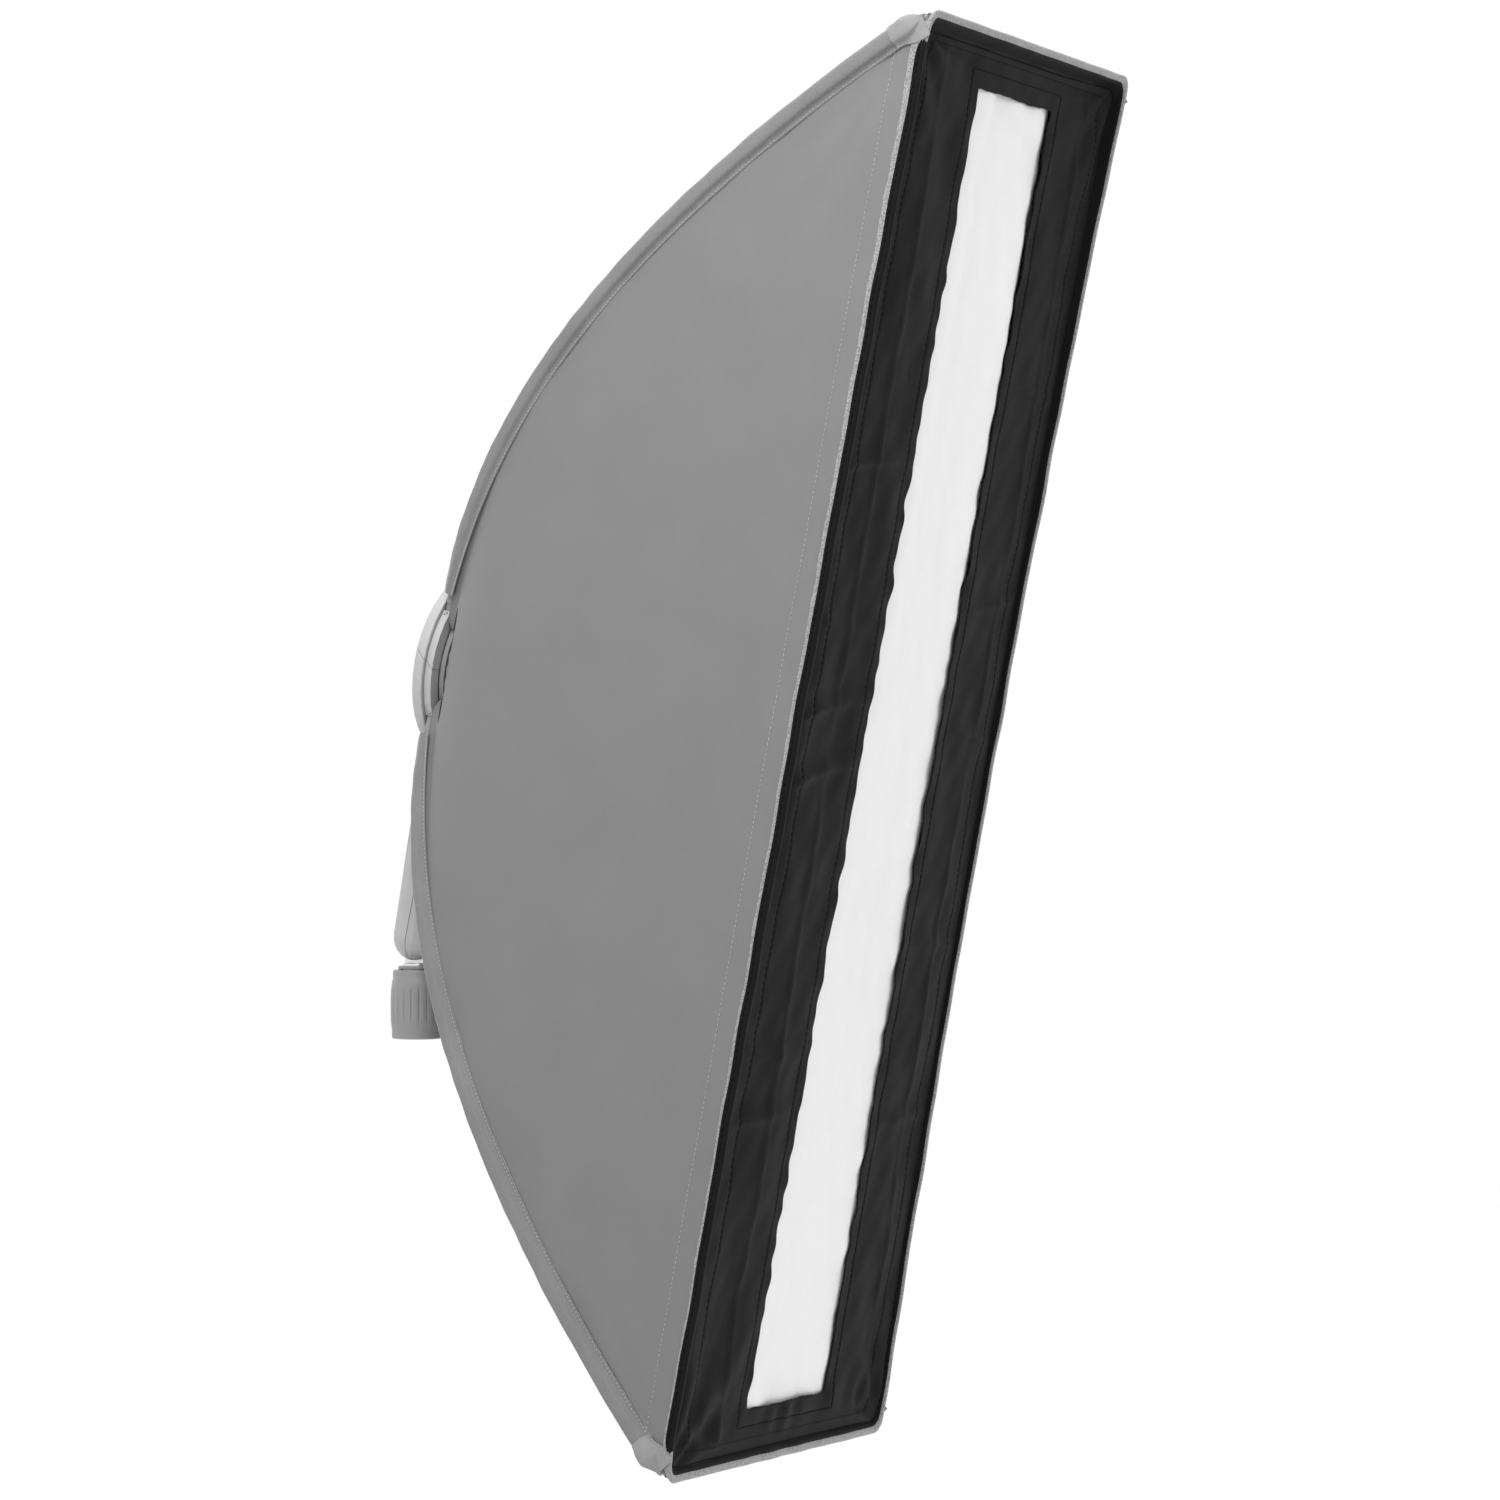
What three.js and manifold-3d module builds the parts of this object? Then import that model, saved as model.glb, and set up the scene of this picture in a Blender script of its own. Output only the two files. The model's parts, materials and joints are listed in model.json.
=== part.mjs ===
// Strip softbox on a tilting stand arm.
// Millimetres, +Z up, the lit front faces -Y. The origin is the centre of the stand socket's mouth.
// The softbox and its arm are drawn in their own upright frame, whose origin is the centre of the hub ring,
// and one tilted group puts them in place on the stand socket.

import * as THREE from "three";
import { mergeVertices } from "three/addons/utils/BufferGeometryUtils.js";
import Module from "manifold-3d";

const wasm = await Module();
wasm.setup();

// ---------------------------------------------------------------- driving dimensions

const TILT_DEG = 11.46; // how far the lit front leans down at rest
const PIVOT_HEIGHT = 67; // tilt axle above the socket's mouth
const PIVOT = { y: -5, z: -183.2 }; // tilt axle in the softbox frame
const GAP = 0.35; // clearance between neighbouring pieces

// frame rods: one curve for all four, mirrored in X and Z
const ROD_BASE = new THREE.Vector3(46, -13, 33); // hinge pin in the hub ring
const ROD_TIP = new THREE.Vector3(147, -317.5, 440); // end in the corner pocket
const ROD_START_SLOPE = 0.13; // share of the rise that is linear
const ROD_CUBIC = -0.09; // share of the rise that is cubic
const ROD_RADIUS = 2;
const SLEEVE_RADIUS = 5;
const SLEEVE_BORE = 2.7;
const SLEEVE_FROM = 0.056; // shares of the rod's run
const SLEEVE_TO = 0.93;
const ROD_STEPS = 15;
const ROD_FROM = 0.031;
const ROD_TO = 0.965;

// fabric shell
const FRONT_Y = -330; // front lip
const FABRIC = 0.8; // thickness
const PANEL_FROM = 0.08; // share of the rod's run where the panels start
const SEAM_MARGIN = 6.9; // from a rod's centreline to a panel's edge
const LIP_MARGIN = 1.4; // the same at the front lip
const PANEL_STEPS = 14;

// front cloths
const MASK_Y = -323.6;
const SLIT_HALF = { x: 53.5, z: 416 };
const LIP_FROM_Y = -316.8;
const LIP_TO_Y = -328.6;
const DIFFUSER_Y = -314.4;
const BAFFLE_Y = -190;
const BAFFLE_SHARE = { x: 0.86, z: 0.86 }; // of the shell's section there

// hub rings: radii from the optical axis, y positions front to back
const BORE_R = 42;
const HUB_R = 62.8;
const ROD_RING_R = 60;
const RING_SIDES = 40;
const SPLIT = { slope: 0.949, z: 10.7 }; // the diagonal cut through both ring halves

// arm and stand socket
const KNUCKLE_R = 16.5;
const TONGUE_HALF = 4.4;
const SLOT_HALF = 6.2;
const AXLE_R = 3;
const TILT_RANGE = [-90, 20];
const COLLAR_R = 18.3;
const COLLAR_FLUTES = 22;
const SPIGOT_R = 8.05; // the stand's 16 mm spigot with clearance

// ---------------------------------------------------------------- materials

const plastic = (color, roughness) => new THREE.MeshStandardMaterial({ color, roughness, metalness: 0 });
const metal = (color, roughness) => new THREE.MeshStandardMaterial({ color, roughness, metalness: 1 });
const cloth = (color) => new THREE.MeshStandardMaterial({ color, roughness: 0.9, metalness: 0 });

const LOOKS = {
  hub: () => plastic(0xadadad, 0.45),
  dark: () => plastic(0x7d7d7d, 0.6),
  arm: () => plastic(0xa3a3a3, 0.4),
  collar: () => plastic(0x9a9a9a, 0.5),
  steel: () => metal(0xd9d9d9, 0.3),
  rod: () => metal(0xcfcfcf, 0.35),
  shell: () => cloth(0x8d8d8d),
  webbing: () => cloth(0x9a9a9a),
  mask: () => cloth(0x1b1b1d),
  white: () => cloth(0xebebeb),
  tape: () => cloth(0xa8a8a8),
};

const root = new THREE.Group();
const softbox = new THREE.Group(); // upright softbox frame, tilted about the axle
root.add(softbox);
softbox.rotation.x = THREE.MathUtils.degToRad(TILT_DEG);
softbox.position.copy(
  new THREE.Vector3(0, -PIVOT.y, -PIVOT.z)
    .applyEuler(softbox.rotation)
    .add(new THREE.Vector3(0, 0, PIVOT_HEIGHT)),
);

function add(parent, name, geometry, look) {
  const mesh = new THREE.Mesh(geometry, LOOKS[look]());
  mesh.name = name;
  parent.add(mesh);
  return mesh;
}

// ---------------------------------------------------------------- solids

function toSolid(geometry) {
  const bare = geometry.clone();
  bare.deleteAttribute("normal");
  bare.deleteAttribute("uv");
  const merged = mergeVertices(bare, 1e-4);
  const mesh = new wasm.Mesh({
    numProp: 3,
    vertProperties: new Float32Array(merged.attributes.position.array),
    triVerts: new Uint32Array(merged.index.array),
  });
  return new wasm.Manifold(mesh);
}

function toGeometry(solid) {
  const mesh = solid.getMesh();
  const geometry = new THREE.BufferGeometry();
  geometry.setAttribute("position", new THREE.BufferAttribute(new Float32Array(mesh.vertProperties), 3));
  geometry.setIndex(new THREE.BufferAttribute(new Uint32Array(mesh.triVerts), 1));
  geometry.computeVertexNormals();
  return geometry;
}

// a box from its lowest to its highest corner
function boxBetween(low, high) {
  const size = high.map((v, i) => v - low[i]);
  const geometry = new THREE.BoxGeometry(...size);
  geometry.translate(...low.map((v, i) => v + size[i] / 2));
  return geometry;
}

// a cylinder of radius r whose axis runs from one point to another
function rodBetween(from, to, r, sides = 12) {
  const along = to.clone().sub(from);
  const geometry = new THREE.CylinderGeometry(r, r, along.length(), sides);
  const up = new THREE.Vector3(0, 1, 0);
  const turn = new THREE.Quaternion().setFromUnitVectors(up, along.clone().normalize());
  geometry.applyQuaternion(turn);
  geometry.translate(...from.clone().add(to).multiplyScalar(0.5).toArray());
  return geometry;
}

// a ring about the Y axis from a closed profile of [radius, y] points
function ringAboutY(profile, sides = RING_SIDES) {
  const points = profile.map(([r, y]) => new THREE.Vector2(r, y));
  points.push(points[0].clone());
  return outward(new THREE.LatheGeometry(points, sides));
}

const plainRing = (inner, outer, y0, y1, sides) =>
  ringAboutY([[inner, y0], [outer, y0], [outer, y1], [inner, y1]], sides);

// the same about Z
function ringAboutZ(profile, sides) {
  const geometry = ringAboutY(profile, sides);
  geometry.rotateX(Math.PI / 2);
  return geometry;
}

// a closed loft through loops of points, each loop with the same count, ends capped by fans
function loft(loops) {
  const count = loops[0].length;
  const positions = loops.flat().flatMap((p) => p.toArray());
  const index = [];
  for (let i = 0; i + 1 < loops.length; i += 1) {
    for (let j = 0; j < count; j += 1) {
      const k = (j + 1) % count;
      const [a, b, c, d] = [i * count + j, i * count + k, (i + 1) * count + k, (i + 1) * count + j];
      index.push(a, b, c, a, c, d);
    }
  }
  const last = (loops.length - 1) * count;
  for (let j = 1; j + 1 < count; j += 1) {
    index.push(0, j + 1, j, last, last + j, last + j + 1);
  }
  const geometry = new THREE.BufferGeometry();
  geometry.setAttribute("position", new THREE.Float32BufferAttribute(positions, 3));
  geometry.setIndex(index);
  geometry.computeVertexNormals();
  return geometry;
}

// turns a loft's faces outwards, whichever way its loops run
function outward(geometry) {
  const solid = toSolid(geometry);
  if (solid.volume() >= 0) {
    return geometry;
  }
  const index = Array.from(geometry.index.array);
  for (let i = 0; i < index.length; i += 3) {
    [index[i + 1], index[i + 2]] = [index[i + 2], index[i + 1]];
  }
  geometry.setIndex(index);
  return geometry;
}

// ---------------------------------------------------------------- the rod curve and the shell's surface

const rise = (s) => ROD_START_SLOPE * s + (1 - ROD_START_SLOPE - ROD_CUBIC) * s * s + ROD_CUBIC * s ** 3;

// the point at share s of the rod in the +X, +Z corner
function rodPoint(s) {
  return new THREE.Vector3(
    THREE.MathUtils.lerp(ROD_BASE.x, ROD_TIP.x, s),
    ROD_BASE.y + (ROD_TIP.y - ROD_BASE.y) * rise(s),
    THREE.MathUtils.lerp(ROD_BASE.z, ROD_TIP.z, s),
  );
}

// the share at which the rod's curve, carried on past its tip, reaches a given y
function shareAtY(y) {
  let [low, high] = [0, 1.2];
  for (let i = 0; i < 40; i += 1) {
    const middle = (low + high) / 2;
    if (rodPoint(middle).y > y) {
      low = middle;
    } else {
      high = middle;
    }
  }
  return low;
}

const FRONT_SHARE = shareAtY(FRONT_Y);

class RodCurve extends THREE.Curve {
  constructor(sx, sz, from, to) {
    super();
    Object.assign(this, { sx, sz, from, to });
  }

  getPoint(t) {
    const p = rodPoint(THREE.MathUtils.lerp(this.from, this.to, t));
    return p.set(p.x * this.sx, p.y, p.z * this.sz);
  }
}

function tubeAlong(curve, steps, outer, inner, sides) {
  const section = new THREE.Shape().absarc(0, 0, outer, 0, Math.PI * 2);
  if (inner > 0) {
    section.holes.push(new THREE.Path().absarc(0, 0, inner, 0, Math.PI * 2, true));
  }
  const options = { steps, curveSegments: sides, extrudePath: curve, bevelEnabled: false };
  return new THREE.ExtrudeGeometry(section, options);
}

// the four corners of the frame, as mirror signs
const CORNERS = [
  { name: "upper_left", sx: -1, sz: 1 },
  { name: "upper_right", sx: 1, sz: 1 },
  { name: "lower_left", sx: -1, sz: -1 },
  { name: "lower_right", sx: 1, sz: -1 },
];

const inCorner = (p, { sx, sz }) => new THREE.Vector3(p.x * sx, p.y, p.z * sz);

// ---------------------------------------------------------------- rods and their fittings

const ROD_PLAN = new THREE.Vector3(ROD_TIP.x - ROD_BASE.x, 0, ROD_TIP.z - ROD_BASE.z).normalize();
const SOCKET = { eye: 2.3, eyeHalf: 2, from: 7.6, to: 21, radius: 2.9 };
const PIN = { radius: 1.1, half: 4.6 };
const HOLE_CLEARANCE = 0.3;

// a point at a distance from the hinge pin along the rod's first stretch, in the +X, +Z corner
function alongRodStart(distance) {
  const heading = rodPoint(0.04).sub(ROD_BASE).normalize();
  return ROD_BASE.clone().addScaledVector(heading, distance);
}

function hingeAxis(corner) {
  const plan = inCorner(ROD_PLAN, corner);
  return new THREE.Vector3(plan.z, 0, -plan.x);
}

function hingePin(corner, radius, half) {
  const base = inCorner(ROD_BASE, corner);
  const axis = hingeAxis(corner);
  const start = base.clone().addScaledVector(axis, -half);
  const end = base.clone().addScaledVector(axis, half);
  return rodBetween(start, end, radius, 10);
}

// eye on the hinge pin, flat neck and a barrel that holds the rod's end
function rodSocket(corner) {
  const neck = new THREE.BoxGeometry(2 * SOCKET.eyeHalf, 9, 3.4);
  neck.translate(0, 4.5, 0);
  const base = inCorner(ROD_BASE, corner);
  const heading = inCorner(alongRodStart(1), corner).sub(base).normalize();
  const axis = hingeAxis(corner);
  const up = new THREE.Vector3().crossVectors(axis, heading);
  neck.applyMatrix4(new THREE.Matrix4().makeBasis(axis, heading, up).setPosition(base));
  const barrel = rodBetween(
    base.clone().addScaledVector(heading, SOCKET.from),
    base.clone().addScaledVector(heading, SOCKET.to),
    SOCKET.radius,
    14,
  );
  const bore = rodBetween(
    base.clone().addScaledVector(heading, SOCKET.from + 4),
    base.clone().addScaledVector(heading, SOCKET.to + 5),
    ROD_RADIUS + 0.45,
    14,
  );
  const solid = toSolid(hingePin(corner, SOCKET.eye, SOCKET.eyeHalf))
    .add(toSolid(neck))
    .add(toSolid(barrel))
    .subtract(toSolid(bore))
    .subtract(toSolid(hingePin(corner, PIN.radius + HOLE_CLEARANCE, 6)));
  return toGeometry(solid);
}

// a round-nosed cap on the rod's end
function rodCap(corner) {
  const nose = inCorner(rodPoint(1), corner);
  const collar = inCorner(rodPoint(0.955), corner);
  const back = collar.clone().sub(nose).normalize();
  const body = rodBetween(nose.clone().addScaledVector(back, 2.4), collar, 2.9, 10);
  const dome = new THREE.SphereGeometry(2.9, 10, 6);
  dome.translate(...nose.clone().addScaledVector(back, 2.4).toArray());
  const boreStart = nose.clone().addScaledVector(back, 8);
  const boreEnd = collar.clone().addScaledVector(back, 4);
  const bore = rodBetween(boreStart, boreEnd, 2.3, 10);
  return toGeometry(toSolid(body).add(toSolid(dome)).subtract(toSolid(bore)));
}

for (const corner of CORNERS) {
  const { name, sx, sz } = corner;
  add(softbox, `rod_hinge_pin_${name}`, hingePin(corner, PIN.radius, PIN.half), "steel");
  add(softbox, `rod_socket_${name}`, rodSocket(corner), "dark");
  const rod = new RodCurve(sx, sz, ROD_FROM, ROD_TO);
  add(softbox, `rod_${name}`, tubeAlong(rod, ROD_STEPS, ROD_RADIUS, 0, 4), "rod");
  add(softbox, `rod_cap_${name}`, rodCap(corner), "dark");
  const sleeve = new RodCurve(sx, sz, SLEEVE_FROM, SLEEVE_TO);
  const tube = tubeAlong(sleeve, ROD_STEPS, SLEEVE_RADIUS, SLEEVE_BORE, 5);
  add(softbox, `rod_sleeve_${name}`, tube, "webbing");
}

// ---------------------------------------------------------------- fabric shell

// how far a panel's edge stays from the corner's rod
function seamMargin(s) {
  const past = THREE.MathUtils.clamp((s - SLEEVE_TO) / (FRONT_SHARE - SLEEVE_TO), 0, 1);
  return THREE.MathUtils.lerp(SEAM_MARGIN, LIP_MARGIN, past * past);
}

// one panel: a sheet whose profile is the rods' curve, straight across between the two rods.
// "side" panels span Z and stand off in X, "end" panels span X and stand off in Z.
// half is 0 for the whole span, or -1 or 1 for the half on that side of the middle.
function panel(kind, sign, half = 0) {
  const loops = [];
  for (let i = 0; i <= PANEL_STEPS; i += 1) {
    const s = THREE.MathUtils.lerp(PANEL_FROM, FRONT_SHARE, i / PANEL_STEPS);
    const [p, ahead] = [rodPoint(s), rodPoint(s + 0.01)];
    const off = kind === "side" ? p.x : p.z;
    const grow = (kind === "side" ? ahead.x : ahead.z) - off;
    const fall = ahead.y - p.y;
    const length = Math.hypot(grow, fall);
    const [inOff, inY] = [(fall / length) * FABRIC, (-grow / length) * FABRIC];
    const tangent = ahead.clone().sub(p).normalize();
    const crossing = Math.sqrt(1 - (kind === "side" ? tangent.z : tangent.x) ** 2);
    const reach = (kind === "side" ? p.z : p.x) - seamMargin(s) / crossing;
    const from = half > 0 ? GAP / 2 : -reach;
    const to = half < 0 ? -GAP / 2 : reach;
    const corner = (o, y, w) =>
      kind === "side" ? new THREE.Vector3(sign * o, y, w) : new THREE.Vector3(w, y, sign * o);
    loops.push([
      corner(off, p.y, from),
      corner(off, p.y, to),
      corner(off + inOff, p.y + inY, to),
      corner(off + inOff, p.y + inY, from),
    ]);
  }
  return outward(loft(loops));
}

add(softbox, "shell_panel_left", panel("side", -1), "shell");
add(softbox, "shell_panel_right", panel("side", 1), "shell");
// the end panels crease along their middle when the rods close, so each is two leaves
for (const [end, sign] of [["top", 1], ["bottom", -1]]) {
  add(softbox, `shell_panel_${end}_left`, panel("end", sign, -1), "shell");
  add(softbox, `shell_panel_${end}_right`, panel("end", sign, 1), "shell");
}

// half sizes of the shell's inside at a given y
function insideAt(y, clearance) {
  const p = rodPoint(shareAtY(y));
  return { x: p.x - FABRIC * 1.05 - clearance, z: p.z - FABRIC * 1.35 - clearance };
}

const rectangleLoop = ({ x, z }, y) => [
  new THREE.Vector3(-x, y, -z),
  new THREE.Vector3(x, y, -z),
  new THREE.Vector3(x, y, z),
  new THREE.Vector3(-x, y, z),
];

// a rectangular band that follows the inside of the shell between two y positions
function lipBand(y0, y1, clearance, thickness) {
  const outer = [insideAt(y0, clearance), insideAt(y1, clearance)];
  const inner = [insideAt(y0, clearance + thickness), insideAt(y1, clearance + thickness)];
  const reach = 2;
  const slope = { x: (outer[1].x - outer[0].x) / (y1 - y0), z: (outer[1].z - outer[0].z) / (y1 - y0) };
  const past = (half, dy) => ({ x: half.x + slope.x * dy, z: half.z + slope.z * dy });
  const solid = toSolid(outward(loft([rectangleLoop(outer[0], y0), rectangleLoop(outer[1], y1)])));
  const hollow = loft([
    rectangleLoop(past(inner[0], reach), y0 + reach),
    rectangleLoop(past(inner[1], -reach), y1 - reach),
  ]);
  return solid.subtract(toSolid(outward(hollow)));
}

const flatSheet = (half, y, thickness = FABRIC) =>
  boxBetween([-half.x, y - thickness, -half.z], [half.x, y, half.z]);

// hook-and-loop tape round the inside of the lip, cut out round the rods' caps
function lipTape() {
  let solid = lipBand(LIP_FROM_Y, LIP_TO_Y, 0.4, 1);
  for (const corner of CORNERS) {
    const room = new THREE.SphereGeometry(6, 10, 8);
    room.translate(...inCorner(rodPoint(0.995), corner).toArray());
    solid = solid.subtract(toSolid(room));
  }
  return toGeometry(solid);
}

add(softbox, "front_lip_tape", lipTape(), "tape");

// black mask with its slit and the flange that sticks to the lip's tape
function stripMask() {
  const sheet = toSolid(flatSheet(insideAt(MASK_Y, 2.2), MASK_Y));
  const flange = lipBand(MASK_Y - FABRIC / 2, LIP_TO_Y, 1.9, FABRIC);
  const slit = boxBetween([-SLIT_HALF.x, MASK_Y - 4, -SLIT_HALF.z], [SLIT_HALF.x, MASK_Y + 4, SLIT_HALF.z]);
  return toGeometry(sheet.add(flange).subtract(toSolid(slit)));
}

add(softbox, "strip_mask", stripMask(), "mask");
add(softbox, "front_diffuser", flatSheet(insideAt(DIFFUSER_Y, 3.4), DIFFUSER_Y), "white");

const inside = insideAt(BAFFLE_Y, 0);
const baffle = { x: inside.x * BAFFLE_SHARE.x, z: inside.z * BAFFLE_SHARE.z };
add(softbox, "inner_baffle", flatSheet(baffle, BAFFLE_Y), "white");

// flat rear skirt that closes the shell round the hub
function rearSkirt() {
  const [x, z, cut] = [51.5, 62, 13];
  const y = -19.6;
  const outline = new THREE.Shape();
  outline.moveTo(-x + cut, -z);
  [[x - cut, -z], [x, -z + cut], [x, z - cut], [x - cut, z], [-x + cut, z], [-x, z - cut], [-x, -z + cut]].forEach(
    ([a, b]) => outline.lineTo(a, b),
  );
  outline.holes.push(new THREE.Path().absarc(0, 0, 44.5, 0, Math.PI * 2, true));
  const options = { depth: FABRIC, bevelEnabled: false, curveSegments: 40 };
  const geometry = new THREE.ExtrudeGeometry(outline, options);
  geometry.rotateX(Math.PI / 2);
  geometry.translate(0, y, 0);
  return geometry;
}

add(softbox, "rear_skirt", rearSkirt(), "shell");

// ---------------------------------------------------------------- hub rings

const SCREW_ANGLES = [60, 120, 240, 300];
const SCREW_CIRCLE = 57;

function screwAt(angle, radius, y0, y1) {
  const a = THREE.MathUtils.degToRad(angle);
  const [x, z] = [SCREW_CIRCLE * Math.cos(a), SCREW_CIRCLE * Math.sin(a)];
  return rodBetween(new THREE.Vector3(x, y0, z), new THREE.Vector3(x, y1, z), radius, 12);
}

// everything above or below the diagonal cut, as a big wedge of space
function halfSpace(upper) {
  const far = 200;
  const shift = (upper ? 1 : -1) * GAP * 0.6;
  const line = (y) => SPLIT.z + SPLIT.slope * y + shift;
  const end = upper ? far : -far;
  const shape = new THREE.Shape();
  shape.moveTo(-far, line(-far));
  shape.lineTo(far, line(far));
  shape.lineTo(far, end * 2);
  shape.lineTo(-far, end * 2);
  const geometry = new THREE.ExtrudeGeometry(shape, { depth: far * 2, bevelEnabled: false });
  // the shape's x is the part's y, its y is the part's z, and it is extruded along X
  geometry.applyMatrix4(new THREE.Matrix4().set(0, 0, 1, -far, 1, 0, 0, 0, 0, 1, 0, 0, 0, 0, 0, 1));
  return toSolid(geometry);
}

function rearCover() {
  const profile = [
    [48.6, -1.8], [58.5, -1.8], [61.2, -2.3], [62.4, -3.4], [HUB_R, -5], [HUB_R, -9.6], [62.3, -10.1],
    [54, -10.1], [54, -9.3], [48.6, -9.3],
  ];
  let solid = toSolid(ringAboutY(profile));
  for (const angle of SCREW_ANGLES) {
    solid = solid
      .subtract(toSolid(screwAt(angle, 1.75, -30, 10)))
      .subtract(toSolid(screwAt(angle, 2.8, -3.6, 10)));
  }
  return solid;
}

// the ring that holds the rods' hinge pins, notched where each rod swings
function rodRing() {
  let solid = toSolid(plainRing(51, ROD_RING_R, -15.5, -10.45));
  for (const angle of SCREW_ANGLES) {
    solid = solid.subtract(toSolid(screwAt(angle, 1.75, -14, 10)));
  }
  for (const corner of CORNERS) {
    const notch = new THREE.BoxGeometry(5, 40, 20);
    notch.translate(0, 0, 10 - 3.2);
    const plan = inCorner(ROD_PLAN, corner);
    notch.rotateY(Math.atan2(plan.x, plan.z));
    notch.translate(...inCorner(ROD_BASE, corner).toArray());
    const bore = hingePin(corner, PIN.radius + HOLE_CLEARANCE, PIN.half + 0.4);
    solid = solid.subtract(toSolid(notch)).subtract(toSolid(bore));
  }
  return solid;
}

for (const [name, upper] of [["upper", true], ["lower", false]]) {
  add(softbox, `rear_cover_${name}`, toGeometry(rearCover().intersect(halfSpace(upper))), "hub");
  add(softbox, `rod_ring_${name}`, toGeometry(rodRing().intersect(halfSpace(upper))), "hub");
}

SCREW_ANGLES.forEach((angle, i) => {
  const screw = toSolid(screwAt(angle, 1.4, -13.4, -3)).add(toSolid(screwAt(angle, 2.4, -3.2, -2.2)));
  add(softbox, `ring_screw_${i + 1}`, toGeometry(screw), "steel");
});

add(softbox, "front_collar", plainRing(44.5, 50.6, -19.2, -15.85), "dark");
add(softbox, "skirt_clamp_ring", plainRing(44.8, 49.5, -22.6, -20.8), "dark");

// ---------------------------------------------------------------- the arm's bearing ring and the flash plate

const LUG = { half: 7.5, from: 44, to: 63, y0: -0.9, y1: 5.6 };

function armRing() {
  const barrel = [[BORE_R, -9.4], [46.3, -9.4], [46.3, -1.4], [50.5, -1.4], [50.5, 2.4], [BORE_R, 2.4]];
  const lug = boxBetween([-LUG.half, LUG.y0, -LUG.to], [LUG.half, 2.4, -LUG.from]);
  const heel = boxBetween([-LUG.half, LUG.y0, -LUG.to], [LUG.half, LUG.y1, -51.5]);
  return toGeometry(toSolid(ringAboutY(barrel)).add(toSolid(lug)).add(toSolid(heel)));
}

add(softbox, "arm_ring", armRing(), "dark");
add(softbox, "glide_ring", plainRing(46.65, 48.2, -9.1, -1.8), "white");
add(softbox, "retaining_ring", plainRing(BORE_R + 0.5, 50.3, -13, -9.75), "steel");
add(softbox, "flash_plate", plainRing(42.8, 48.8, 2.75, 4.2), "steel");

// ---------------------------------------------------------------- arm shells

// stations down the arm: height, centre in y, half depth and half width
const ARM = [
  { z: -52, y: 6.4, b: 6.6, a: 8.5 },
  { z: -56, y: 4.6, b: 9.2, a: 10.6 },
  { z: -64, y: 3, b: 11, a: 12 },
  { z: -90, y: 1.2, b: 12.8, a: 13.6 },
  { z: -120, y: -1.2, b: 14.6, a: 15 },
  { z: -150, y: -3.6, b: 16, a: 16 },
];
const ARM_SIDES = 22;

function armBody(inset, bottomInset) {
  const stations = ARM.map((s) => ({ ...s, a: s.a - inset, b: s.b - inset }));
  stations[0] = { ...stations[0], z: ARM[0].z - inset };
  if (bottomInset === undefined) {
    for (let i = 0; i <= 6; i += 1) {
      const angle = (i / 6) * 1.45;
      const r = KNUCKLE_R * Math.cos(angle);
      stations.push({ z: PIVOT.z - KNUCKLE_R * Math.sin(angle), y: PIVOT.y, b: r, a: r });
    }
  } else {
    stations.push({ ...ARM.at(-1), z: PIVOT.z + bottomInset, a: 16 - inset, b: 16 - inset });
  }
  const loops = stations.map(({ z, y, a, b }) =>
    Array.from({ length: ARM_SIDES }, (_, j) => {
      const angle = (j / ARM_SIDES) * Math.PI * 2;
      return new THREE.Vector3(a * Math.cos(angle), y + b * Math.sin(angle), z);
    }),
  );
  return toSolid(outward(loft(loops)));
}

// the slot that the stand stud's tongue swings in, as a sector round the axle
function tongueSlot() {
  const half = 8.9;
  const reach = 24;
  const atRest = -90 - TILT_DEG;
  const [first, last] = [atRest - TILT_RANGE[1], atRest - TILT_RANGE[0]].map(THREE.MathUtils.degToRad);
  const shape = new THREE.Shape();
  const steps = 14;
  for (let i = 0; i <= steps; i += 1) {
    const a = THREE.MathUtils.lerp(first - 0.38, last + 0.38, i / steps);
    const point = [reach * Math.cos(a), reach * Math.sin(a)];
    if (i === 0) {
      shape.moveTo(...point);
    } else {
      shape.lineTo(...point);
    }
  }
  for (let i = 0; i <= steps; i += 1) {
    const a = THREE.MathUtils.lerp(last + Math.PI / 2, first + Math.PI * 1.5, i / steps);
    shape.lineTo(half * Math.cos(a), half * Math.sin(a));
  }
  const geometry = new THREE.ExtrudeGeometry(shape, { depth: 2 * SLOT_HALF, bevelEnabled: false });
  // the shape's x is the part's y, its y is the part's z, and it is extruded along X
  geometry.applyMatrix4(
    new THREE.Matrix4().set(0, 0, 1, -SLOT_HALF, 1, 0, 0, PIVOT.y, 0, 1, 0, PIVOT.z, 0, 0, 0, 1),
  );
  return toSolid(geometry);
}

const onAxle = (r, half, sides = 20) =>
  rodBetween(new THREE.Vector3(-half, PIVOT.y, PIVOT.z), new THREE.Vector3(half, PIVOT.y, PIVOT.z), r, sides);

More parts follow.
